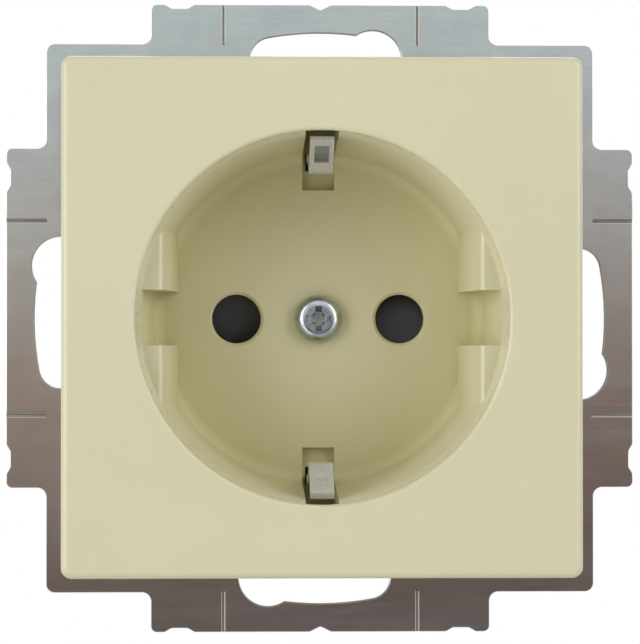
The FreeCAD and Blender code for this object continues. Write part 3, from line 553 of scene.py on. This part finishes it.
class PaintedRecessShade(Effect):
    """A mask of deep hollows for painted shade: a darker, warmer tone that stands in for the
    shade there and for light that the plastic bounces in its own colour.
    """

    title = "painted_recess_shade"
    inputs = (Port("Vector", VECTOR), Port("Amount", FLOAT, 1.0))
    outputs = (Port("Mask", FLOAT), Port("Depth", FLOAT))
    reach = 16 * MM
    closed = (1.0, 0.45)
    depths = (-10 * MM, 6 * MM)

    def wire(self, graph: Graph, entry: bpy.types.Node) -> dict[str, Socket]:
        """Measures how closed in a place is, and how far it lies behind the front.

        Args:
            graph: the group's tree.
            entry: the group's input node.

        Returns:
            The mask of the painted shade in hollows, and the depth from 0 at the front to 1 at
            the floor.
        """
        depth = graph.remap(graph.split(entry.outputs["Vector"])["Y"], self.depths)
        mask = graph.times(graph.hollow(self.reach, self.closed), depth, entry.outputs["Amount"])
        return {"Mask": mask, "Depth": depth}


class ZoneMask(Effect):
    """A soft-edged box, the same on the left and the right."""

    title = "zone_mask"
    inputs = (Port("Vector", VECTOR), Port("Centre", VECTOR), Port("Half", VECTOR),
              Port("Soft", FLOAT, 0.1 * MM))
    outputs = (Port("Mask", FLOAT),)

    def wire(self, graph: Graph, entry: bpy.types.Node) -> dict[str, Socket]:
        """Measures how far a place lies outside the box.

        Args:
            graph: the group's tree.
            entry: the group's input node.

        Returns:
            The mask of the box.
        """
        parts = graph.split(entry.outputs["Vector"])
        folded = graph.add("ShaderNodeCombineXYZ")
        graph.feed(folded.inputs["X"], graph.math("ABSOLUTE", parts["X"]))
        graph.feed(folded.inputs["Y"], parts["Y"])
        graph.feed(folded.inputs["Z"], parts["Z"])
        place = folded.outputs[0]
        for operation, port in (("SUBTRACT", "Centre"), ("ABSOLUTE", None), ("SUBTRACT", "Half")):
            step = graph.add("ShaderNodeVectorMath", operation=operation)
            graph.feed(step.inputs[0], place)
            if port is not None:
                graph.feed(step.inputs[1], entry.outputs[port])
            place = step.outputs[0]
        outside = graph.split(place)
        widest = graph.math("MAXIMUM", outside["X"],
                            graph.math("MAXIMUM", outside["Y"], outside["Z"]))
        share = graph.math("DIVIDE", widest, entry.outputs["Soft"], clamp=True)
        return {"Mask": graph.math("SUBTRACT", 1.0, share)}


GRAIN = MouldGrain()
DRIFT = ColourDrift()
WEAR = EdgeWear()
LINES = RollingLines()
DUST = SettledDust()
# painted shade in recesses: darker, warmer tone by occlusion and depth
SHADE_IN_RECESS = PaintedRecessShade()
ZONE = ZoneMask()


@dataclass(frozen=True)
class Finish:
    """What every finish has: a name, two tones of its colour and a roughness."""

    name: str
    tone: Colour
    other_tone: Colour
    roughness: float = 0.4
    drift_scale: float = 40.0

    def start(self) -> tuple[bpy.types.Material, Graph, bpy.types.NodeInputs, Socket]:
        """Makes an empty material.

        Returns:
            The material, its graph, its shader's inputs and the object coordinates.
        """
        material = bpy.data.materials.new(self.name)
        material.use_nodes = True
        material.node_tree.nodes.clear()
        graph = Graph(material.node_tree)
        place = graph.add("ShaderNodeTexCoord").outputs["Object"]
        shader = graph.add("ShaderNodeBsdfPrincipled")
        output = graph.add("ShaderNodeOutputMaterial")
        graph.feed(output.inputs["Surface"], shader.outputs["BSDF"])
        return material, graph, shader.inputs, place

    def tones(self, graph: Graph, place: Socket) -> Socket:
        """Gives the finish's drifting colour.

        Args:
            graph: the material's tree.
            place: object coordinates.

        Returns:
            The colour's socket.
        """
        return DRIFT.place(graph, Vector=place, Tone=self.tone, Other_Tone=self.other_tone,
                           Scale=self.drift_scale)["Color"]

    @staticmethod
    def raise_relief(graph: Graph, shader: bpy.types.NodeInputs, height: Socket, depth: float,
                     strength: float) -> None:
        """Feeds a height into the shader's normal.

        Args:
            graph: the material's tree.
            shader: the shader's inputs.
            height: the height's socket.
            depth: the relief's depth, in millimetres.
            strength: how much of it shows.
        """
        bump = graph.add("ShaderNodeBump")
        bump.inputs["Strength"].default_value = strength
        bump.inputs["Distance"].default_value = depth * MM
        graph.feed(bump.inputs["Height"], height)
        graph.feed(shader["Normal"], bump.outputs["Normal"])


@dataclass(frozen=True)
class Moulding(Finish):
    """Injection moulded plastic with a fine grain."""

    grain_scale: float = 5200.0
    grain_height: float = 0.002
    grain_spread: float = 0.04
    grain_strength: float = 0.35
    dust: float = 0.25
    dust_colour: Colour = srgb(120, 108, 84)
    dust_matt: float = 0.25
    # how strongly, and in what tone, shade is painted into the recess
    recess_shade_amount: float = 0.0
    recess_shade_colour: Colour = srgb(200, 190, 140)
    deep_matt: float = 0.0
    rub: float = 0.15
    rub_lift: Colour = (1.12, 1.12, 1.12, 1.0)
    ior: float = 1.5

    @cache
    def material(self) -> bpy.types.Material:
        """Builds the plastic, once.

        Returns:
            The material.
        """
        material, graph, shader, place = self.start()
        grain = GRAIN.place(graph, Vector=place, Scale=self.grain_scale)
        film = DUST.place(graph, Vector=place, Amount=self.dust)["Mask"]
        rubbed = WEAR.place(graph, Vector=place, Amount=self.rub)["Mask"]
        # painted shade: the recess is tinted darker and warmer by occlusion and depth, in place
        # of real shade and bounced light
        hollow = SHADE_IN_RECESS.place(graph, Vector=place, Amount=self.recess_shade_amount)
        colour = graph.mix(hollow["Mask"], self.tones(graph, place), self.recess_shade_colour)
        colour = graph.mix(film, colour, self.dust_colour)
        lifted = graph.mix(1.0, colour, self.rub_lift, blend="MULTIPLY")
        graph.feed(shader["Base Color"], graph.mix(rubbed, colour, lifted))
        rough = graph.remap(grain["Mask"], (0.0, 1.0), (self.roughness - self.grain_spread,
                                                        self.roughness + self.grain_spread))
        rough = graph.math("ADD", rough, graph.math("MULTIPLY", film, self.dust_matt))
        matt = graph.math("MULTIPLY", hollow["Depth"], self.deep_matt)
        graph.feed(shader["Roughness"], graph.math("ADD", rough, matt, clamp=True))
        self.raise_relief(graph, shader, grain["Height"], self.grain_height, self.grain_strength)
        shader["IOR"].default_value = self.ior
        return material


@dataclass(frozen=True)
class Zone:
    """A box in a piece that has its own tone, or a painted shade, in millimetres."""

    centre: Place
    half: Place
    tone: Colour
    roughness: float
    soft: float

    def mask(self, graph: Graph, place: Socket) -> Socket:
        """Gives the box's mask.

        Args:
            graph: the material's tree.
            place: object coordinates.

        Returns:
            The mask's socket.
        """
        return ZONE.place(graph, Vector=place, Centre=in_metres(self.centre),
                          Half=in_metres(self.half), Soft=self.soft * MM)["Mask"]


@dataclass(frozen=True)
class SheetMetal(Finish):
    """Rolled, plated or plain metal with fine lines and rubbed edges."""

    run: Direction = Direction.ACROSS
    streak: Colour = (0.82, 0.82, 0.83, 1.0)
    zone: Optional[Zone] = None
    line_scale: float = 2600.0
    line_height: float = 0.0016
    line_strength: float = 0.4
    spread: float = 0.06
    rub: float = 0.6
    rub_colour: Colour = srgb(214, 212, 206)
    film: float = 0.3
    film_scale: float = 700.0
    film_colour: Colour = srgb(96, 84, 70)
    film_matt: float = 0.3
    metallic: float = 1.0

    @cache
    def material(self) -> bpy.types.Material:
        """Builds the metal, once.

        Returns:
            The material.
        """
        material, graph, shader, place = self.start()
        along = graph.stretched(place, self.run.value)
        lines = LINES.place(graph, Vector=along, Scale=self.line_scale)
        film = DUST.place(graph, Vector=place, Scale=self.film_scale, Amount=self.film)["Mask"]
        rubbed = WEAR.place(graph, Vector=place, Amount=self.rub)["Mask"]
        colour = self.tones(graph, place)
        streaked = graph.mix(1.0, colour, self.streak, blend="MULTIPLY")
        colour = graph.mix(lines["Mask"], streaked, colour)
        colour = graph.mix(film, colour, self.film_colour)
        colour = graph.mix(rubbed, colour, self.rub_colour)
        rough = graph.remap(lines["Mask"], (0.0, 1.0), (self.roughness + self.spread,
                                                        self.roughness - self.spread))
        rough = graph.math("ADD", rough, graph.math("MULTIPLY", film, self.film_matt))
        # a zone is either the ring's bare cut edges or the painted shade on the upper earth
        # clip's dimple
        if self.zone is not None:
            inside = self.zone.mask(graph, place)
            colour = graph.mix(inside, colour, self.zone.tone)
            rough = graph.math("ADD", rough, graph.math("MULTIPLY", inside, self.zone.roughness),
                               clamp=True)
        graph.feed(shader["Base Color"], colour)
        graph.feed(shader["Roughness"], rough)
        shader["Metallic"].default_value = self.metallic
        self.raise_relief(graph, shader, lines["Height"], self.line_height, self.line_strength)
        return material


# the ivory cover paints shade into its recess: recess shade amount 0.88, in a darker warm tone
IVORY = Moulding("ivory_moulding", srgb(218, 213, 181), srgb(214, 208, 174), roughness=0.24,
                 grain_height=0.0008, grain_spread=0.015, dust=0.2, recess_shade_amount=0.88,
                 recess_shade_colour=srgb(206, 198, 149), deep_matt=0.6)
BODY_PLASTIC = Moulding("body_moulding", srgb(176, 172, 160), srgb(164, 160, 148),
                        roughness=0.5, grain_height=0.01)
REAR_PLASTIC = Moulding("rear_moulding", srgb(168, 164, 153), srgb(158, 154, 143),
                        roughness=0.5, grain_height=0.01)
BLACK_NYLON = Moulding("black_moulding", srgb(34, 34, 35), srgb(28, 28, 29), roughness=0.45,
                       dust=0.1, dust_colour=srgb(80, 76, 70))
CUT_EDGES = Zone(centre=(0.0, -0.58, 0.0), half=(60.0, 0.52, 60.0), tone=srgb(150, 146, 142),
                 roughness=0.3, soft=0.05)
# painted shade: a darker, duller patch on the upper earth clip's dimple only, for the shade and
# dark reflection that fall there
DIMPLE_PAINTED_SHADE = Zone(centre=(0.0, -6.4, 18.2), half=(0.76, 1.9, 0.78), tone=srgb(136, 139, 136),
                    roughness=0.1, soft=0.14)
RING_STEEL = SheetMetal("ring_sheet", srgb(204, 204, 203), srgb(195, 196, 197), roughness=0.17,
                        spread=0.03, streak=(0.94, 0.94, 0.94, 1.0), drift_scale=220.0,
                        line_height=0.0006, zone=CUT_EDGES)
CLAW_STEEL = SheetMetal("claw_sheet", srgb(190, 189, 182), srgb(170, 168, 158),
                        roughness=0.3, run=Direction.DEEP)
# the earth strip carries painted shade on its upper clip's dimple
EARTH_STRIP = SheetMetal("tinned_strip", srgb(216, 215, 208), srgb(204, 202, 194),
                         roughness=0.38, run=Direction.DEEP, film=0.0, zone=DIMPLE_PAINTED_SHADE,
                         metallic=0.4)
BRASS_SHEET = SheetMetal("bright_brass", srgb(214, 178, 104), srgb(196, 156, 82),
                         roughness=0.26, run=Direction.DEEP, rub_colour=srgb(236, 210, 150))
SPRING_STEEL = SheetMetal("bright_spring", srgb(190, 190, 190), srgb(166, 168, 172),
                          roughness=0.25, run=Direction.DEEP)
ZINC = SheetMetal("zinc_plating", srgb(204, 212, 218), srgb(160, 172, 182), roughness=0.2,
                  drift_scale=900.0, line_scale=1800.0, film=0.5,
                  film_colour=srgb(88, 90, 84))
RIVET_STEEL = SheetMetal("plain_rivet", srgb(192, 192, 188), srgb(176, 176, 172),
                         roughness=0.3)


@dataclass(frozen=True)
class Press:
    """A rounded block that presses a hollow, in millimetres, tipped about the X axis."""

    centre: Place
    half: Place
    tip: float
    rounding: float = 0.25

    def block(self) -> bpy.types.Object:
        """Builds the block.

        Returns:
            The block, linked to the scene.
        """
        build = bmesh.new()
        size = Matrix.Diagonal([2 * side * MM for side in self.half] + [1.0])
        bmesh.ops.create_cube(build, size=1.0, matrix=size)
        bmesh.ops.bevel(build, geom=list(build.edges), offset=self.rounding * MM, segments=3,
                        profile=0.5, affect="EDGES")
        place = Matrix.Translation(in_metres(self.centre))
        build.transform(place @ Matrix.Rotation(math.radians(self.tip), 4, "X"))
        return in_scene("press", into_mesh("press", build))


@dataclass(frozen=True)
class Rework:
    """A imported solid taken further: hollows pressed in and its edges rounded."""

    node: str
    name: str
    slot: str
    edge: float
    presses: tuple[Press, ...] = ()

    def clean_mesh(self) -> bpy.types.Mesh:
        """Copies the solid's mesh with its flat faces in one piece.

        Returns:
            The new mesh.
        """
        build = bmesh.new()
        build.from_mesh(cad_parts[self.node].data)
        bmesh.ops.remove_doubles(build, verts=build.verts, dist=SAME_POINT)
        bmesh.ops.dissolve_limit(build, angle_limit=FLAT_ANGLE, verts=build.verts,
                                 edges=build.edges)
        build.verts.index_update()
        places = [vert.co[:] for vert in build.verts]
        faces = [[vert.index for vert in face.verts] for face in build.faces]
        build.free()
        mesh = bpy.data.meshes.new(self.name)
        mesh.from_pydata(places, [], faces)
        shade(mesh)
        return mesh

    def build(self, body: str, finish: Finish) -> bpy.types.Object:
        """Builds the piece in the solid's place.

        Args:
            body: the body that it rides on.
            finish: its finish.

        Returns:
            The new piece.
        """
        piece = in_scene(self.name, self.clean_mesh())
        blocks = [press.block() for press in self.presses]
        for block in blocks:
            cut = piece.modifiers.new("press", "BOOLEAN")
            cut.operation = "DIFFERENCE"
            cut.solver = "EXACT"
            cut.object = block
        bevel = piece.modifiers.new("edge", "BEVEL")
        bevel.width = self.edge * MM
        bevel.segments = 2
        bevel.limit_method = "ANGLE"
        bevel.angle_limit = BEVEL_ANGLE
        piece.modifiers.new("flats", "WEIGHTED_NORMAL")
        shaped = piece.evaluated_get(bpy.context.evaluated_depsgraph_get())
        mesh = bpy.data.meshes.new_from_object(shaped)
        piece.modifiers.clear()
        piece.data = mesh
        for block in blocks:
            bpy.data.meshes.remove(block.data)
        mesh.materials.clear()
        mesh.materials.append(finish.material())
        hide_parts(self.node)
        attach(piece, body)
        return piece


@dataclass(frozen=True)
class Thread:
    """The ridge of a screw's thread, wound on its shank, in millimetres."""

    node: str
    phase: float
    root: float = 1.43
    crest: float = 1.52
    pitch: float = 0.5
    foot_share: float = 0.42
    top_share: float = 0.1
    start: float = 1.6
    margin: float = 0.5
    steps: int = 20

    def station(self, index: int, count: int, axis: Vector) -> list[Vector]:
        """Gives the ridge's section at one step along the helix.

        Args:
            index: the step.
            count: how many steps there are.
            axis: a point on the screw's axis, in metres.

        Returns:
            The four corners of the section, in metres.
        """
        angle = self.phase + 2 * math.pi * index / self.steps
        along = self.start + self.pitch * index / self.steps
        rise = min(1.0, index / self.steps, (count - index) / self.steps)
        crest = self.root + (self.crest - self.root) * rise
        section = []
        for radius, share in ((self.root, -self.foot_share), (crest, -self.top_share),
                              (crest, self.top_share), (self.root, self.foot_share)):
            section.append(Vector((axis.x + radius * math.cos(angle) * MM,
                                   (along + share * self.pitch) * MM,
                                   axis.z + radius * math.sin(angle) * MM)))
        return section

    def build(self, body: str, slot: str, finish: Finish) -> bpy.types.Object:
        """Builds the ridge.

        Args:
            body: the body that it rides on.
            slot: its material slot; not used.
            finish: its finish.

        Returns:
            The new piece.
        """
        low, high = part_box(self.node)
        axis = (Vector(low) + Vector(high)) / 2
        length = Vector(high).y / MM - self.margin - self.start
        count = int(length / self.pitch * self.steps)
        build = bmesh.new()
        rings = [[build.verts.new(corner) for corner in self.station(index, count, axis)]
                 for index in range(count + 1)]
        for near, far in zip(rings, rings[1:]):
            for corner in range(len(near)):
                beside = (corner + 1) % len(near)
                build.faces.new((near[corner], near[beside], far[beside], far[corner]))
        build.faces.new(rings[0])
        build.faces.new(list(reversed(rings[-1])))
        bmesh.ops.recalc_face_normals(build, faces=build.faces)
        name = self.node + "_thread"
        mesh = into_mesh(name, build)
        shade(mesh)
        mesh.materials.append(finish.material())
        piece = in_scene(name, mesh)
        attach(piece, body)
        return piece


@dataclass
class Assembly:
    """A group of pieces that share finishes."""

    finishes: dict[str, Finish] = field(default_factory=dict)

    def add_detail(self) -> None:
        """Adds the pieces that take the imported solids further."""

    def dress(self) -> None:
        """Gives each piece its finish."""
        for node, finish in self.finishes.items():
            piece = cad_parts[node]
            for slot in piece.material_slots:
                slot.material = finish.material()
            LOG.info("%s: %s, %d faces", node, finish.name, len(piece.data.polygons))

    def rework(self, rework: Rework) -> None:
        """Puts a reworked piece in a solid's place, in the solid's finish.

        Args:
            rework: how the piece is made.
        """
        piece = rework.build("root", self.finishes[rework.node])
        LOG.info("%s: made from %s, %d faces", rework.name, rework.node,
                 len(piece.data.polygons))


@dataclass
class FrontAssembly(Assembly):
    """The cover plate with its screw, and the mounting ring behind it, in millimetres."""

    finishes: dict[str, Finish] = field(default_factory=lambda: {
        "cover_plate": IVORY, "cover_screw": ZINC, "mounting_ring": RING_STEEL,
        "ring_rivet_top_left": RIVET_STEEL, "ring_rivet_top_right": RIVET_STEEL,
        "ring_rivet_bottom_left": RIVET_STEEL, "ring_rivet_bottom_right": RIVET_STEEL})
    ring_edge: float = 0.12

    def add_detail(self) -> None:
        """Rounds the ring's punched edges."""
        self.rework(Rework("mounting_ring", "ring_sheet", "ring_steel", edge=self.ring_edge))


@dataclass
class BodyAssembly(Assembly):
    """The insulating body with its rear cover and the shutter."""

    finishes: dict[str, Finish] = field(default_factory=lambda: {
        "base_body": BODY_PLASTIC, "rear_cover": REAR_PLASTIC, "shutter": BLACK_NYLON,
        "shutter_spring": SPRING_STEEL, "rear_cover_screw_left": ZINC,
        "rear_cover_screw_right": ZINC})


@dataclass
class ContactAssembly(Assembly):
    """The contacts, the earth strip and the wire clamps, in millimetres and degrees."""

    finishes: dict[str, Finish] = field(default_factory=lambda: {
        "earth_bracket": EARTH_STRIP, "contact_live": BRASS_SHEET,
        "contact_neutral": BRASS_SHEET, "contact_spring_live": SPRING_STEEL,
        "contact_spring_neutral": SPRING_STEEL, "clamp_spring_live": SPRING_STEEL,
        "clamp_spring_neutral": SPRING_STEEL, "clamp_spring_earth": SPRING_STEEL})
    strip_edge: float = 0.1
    dimple_half: Place = (0.78, 1.42, 0.5)
    dimple_place: float = -7.15
    dimple_radius: float = 17.83
    dimple_tip: float = 32.9

    def add_detail(self) -> None:
        """Presses the dimples of the earth clips and rounds the strip's edges."""
        presses = tuple(
            Press((0.0, self.dimple_place, side * self.dimple_radius), self.dimple_half,
                  tip=-side * self.dimple_tip)
            for side in (1.0, -1.0))
        self.rework(Rework("earth_bracket", "earth_clips", "earth_strip", edge=self.strip_edge,
                           presses=presses))


@dataclass
class ClawAssembly(Assembly):
    """The spreading claws with their pins and screws."""

    finishes: dict[str, Finish] = field(default_factory=lambda: {
        "claw_left": CLAW_STEEL, "claw_right": CLAW_STEEL, "claw_pin_left": ZINC,
        "claw_pin_right": ZINC, "claw_screw_left": ZINC, "claw_screw_right": ZINC})

    def add_detail(self) -> None:
        """Winds the threads on the claw screws, half a turn apart to clear both lugs."""
        for node, phase in (("claw_screw_left", 0.0), ("claw_screw_right", math.pi)):
            piece = Thread(node, phase).build(node, "zinc_screw", self.finishes[node])
            LOG.info("%s: %d faces", piece.name, len(piece.data.polygons))


@dataclass(frozen=True)
class Lamp:
    """A soft square lamp that looks at the object, in metres and watts."""

    name: str
    place: Place
    side: float
    power: float

    def build(self) -> None:
        """Adds the lamp."""
        data = bpy.data.lights.new(self.name, "AREA")
        data.size = self.side
        data.energy = self.power
        lamp = in_scene(self.name, data)
        lamp.location = self.place
        lamp.rotation_euler = (-Vector(self.place)).to_track_quat("-Z", "Y").to_euler()


LAMP_REACH = 0.8
LAMP_SIDE = 0.6
LOW_LAMP_SIDE = 1.0


def off_axis(turn: float, tilt: float) -> Place:
    """Gives a lamp's place in front of the plate, off its axis.

    Args:
        turn: degrees about the axis, from the right, anticlockwise as seen from the front.
        tilt: degrees off the axis.

    Returns:
        The place in metres.
    """
    aside = LAMP_REACH * math.sin(math.radians(tilt))
    ahead = LAMP_REACH * math.cos(math.radians(tilt))
    angle = math.radians(turn)
    return (aside * math.cos(angle), -ahead, aside * math.sin(angle))


def make_sheet(name: str, rim: list[Place]) -> bpy.types.Object:
    """Builds one flat face that isn't part of the object.

    Args:
        name: the object's name.
        rim: the face's corners, in metres.

    Returns:
        The new object.
    """
    build = bmesh.new()
    build.faces.new([build.verts.new(corner) for corner in rim])
    sheet = in_scene(name, into_mesh(name, build))
    sheet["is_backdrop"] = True
    return sheet


@dataclass
class Board:
    """The room's wall behind the camera, which the metal mirrors, in metres."""

    distance: float = 1.0
    half: float = 0.35
    light: float = 1.26
    heights: Stops = (
        (-0.122, srgb(77, 76, 76)), (-0.092, srgb(141, 115, 102)), (-0.01, srgb(155, 133, 113)),
        (0.045, srgb(197, 191, 185)), (0.144, srgb(205, 220, 221)))
    shade: Colour = srgb(206, 193, 195)
    shade_across: Span = (-0.105, 0.162)
    shade_top: Span = (0.144, -0.03)
    shade_foot: Span = (-0.14, -0.092)

    def build(self) -> None:
        """Stands the board where only mirroring surfaces show it."""
        half = self.half
        board = make_sheet("board", [(side * half, -self.distance, height * half)
                                     for side, height in ((-1, -1), (1, -1), (1, 1), (-1, 1))])
        material = bpy.data.materials.new("board")
        material.use_nodes = True
        material.node_tree.nodes.clear()
        graph = Graph(material.node_tree)
        parts = graph.split(graph.add("ShaderNodeTexCoord").outputs["Object"])
        share = graph.times(graph.remap(parts["X"], self.shade_across),
                            graph.remap(parts["Z"], self.shade_top),
                            graph.remap(parts["Z"], self.shade_foot))
        lit = graph.add("ShaderNodeEmission")
        graph.feed(lit.inputs["Color"], graph.mix(share, graph.ramp(parts["Z"], self.heights),
                                                  self.shade, blend="MULTIPLY"))
        lit.inputs["Strength"].default_value = self.light
        output = graph.add("ShaderNodeOutputMaterial")
        graph.feed(output.inputs["Surface"], lit.outputs[0])
        board.data.materials.append(material)
        board.visible_camera = False
        board.visible_diffuse = False
        board.visible_shadow = False


@dataclass
class Floor:
    """A plain pale disc below the object, out of the front view, in metres."""

    drop: float = 0.5
    radius: float = 1.2
    sides: int = 96
    colour: Colour = srgb(236, 236, 234)
    roughness: float = 0.8
    glow: float = 0.35

    def build(self) -> None:
        """Lays the floor, a little brighter to the camera."""
        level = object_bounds()[0].z - self.drop
        turns = [2 * math.pi * index / self.sides for index in range(self.sides)]
        floor = make_sheet("floor", [(self.radius * math.cos(turn), self.radius * math.sin(turn),
                                      level) for turn in turns])
        material = bpy.data.materials.new("floor")
        material.use_nodes = True
        shader = material.node_tree.nodes["Principled BSDF"].inputs
        shader["Base Color"].default_value = self.colour
        shader["Roughness"].default_value = self.roughness
        shader["Emission Color"].default_value = WHITE
        graph = Graph(material.node_tree)
        seen = graph.add("ShaderNodeLightPath").outputs["Is Camera Ray"]
        graph.feed(shader["Emission Strength"], graph.math("MULTIPLY", seen, self.glow))
        floor.data.materials.append(material)


@dataclass
class Studio:
    """The lamps, the world's light, and the camera, in metres and degrees."""

    lamps: tuple[Lamp, ...] = (
        Lamp("left", off_axis(164.0, 56.0), LAMP_SIDE, 3.2),
        Lamp("right", off_axis(20.0, 56.0), LAMP_SIDE, 2.9),
        Lamp("upper_right", off_axis(45.0, 58.0), LAMP_SIDE, 0.4),
        Lamp("lower_left", off_axis(216.0, 55.0), LOW_LAMP_SIDE, 2.1),
        Lamp("rear", (0.1, 0.65, 0.5), LAMP_SIDE, 1.5))
    fill: float = 0.31
    camera_place: Place = (-0.01005, -0.33767, -0.00364)
    camera_yaw: float = 1.7037
    camera_pitch: float = 0.5445
    camera_lens: float = 165.88
    camera_near: float = 0.01
    camera_far: float = 10.0

    def build(self) -> None:
        """Sets up the whole studio."""
        Floor().build()
        Board().build()
        self.make_world()
        for lamp in self.lamps:
            lamp.build()
        self.make_camera()
        bpy.context.scene.view_settings.view_transform = "Standard"

    def make_world(self) -> None:
        """White to the eye and in the metal, plain soft light on the object."""
        world = bpy.data.worlds.new("studio")
        bpy.context.scene.world = world
        world.use_nodes = True
        world.node_tree.nodes.clear()
        graph = Graph(world.node_tree)
        rays = graph.add("ShaderNodeLightPath").outputs
        seen = graph.math("MAXIMUM", rays["Is Camera Ray"], rays["Is Transmission Ray"])
        seen = graph.math("MAXIMUM", seen, rays["Is Glossy Ray"])
        final = graph.add("ShaderNodeMixShader")
        graph.feed(final.inputs[0], seen)
        for place, strength in ((1, self.fill), (2, 1.0)):
            light = graph.add("ShaderNodeBackground")
            light.inputs["Color"].default_value = WHITE
            light.inputs["Strength"].default_value = strength
            graph.feed(final.inputs[place], light.outputs[0])
        output = graph.add("ShaderNodeOutputWorld")
        graph.feed(output.inputs["Surface"], final.outputs[0])

    def make_camera(self) -> None:
        """Stands the camera in front of the plate, a little to the left."""
        data = bpy.data.cameras.new("camera")
        data.lens = self.camera_lens
        data.clip_start = self.camera_near
        data.clip_end = self.camera_far
        camera = in_scene("camera", data)
        camera.location = self.camera_place
        camera.rotation_euler = (math.radians(90 + self.camera_pitch), 0.0,
                                 -math.radians(self.camera_yaw))
        bpy.context.scene.camera = camera


def main() -> None:
    """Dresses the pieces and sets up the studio."""
    logging.basicConfig(level=logging.INFO, format="%(message)s")
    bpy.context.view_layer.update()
    for assembly in (FrontAssembly(), BodyAssembly(), ContactAssembly(), ClawAssembly()):
        assembly.dress()
        assembly.add_detail()
    Studio().build()


if __name__ == "__main__":
    main()
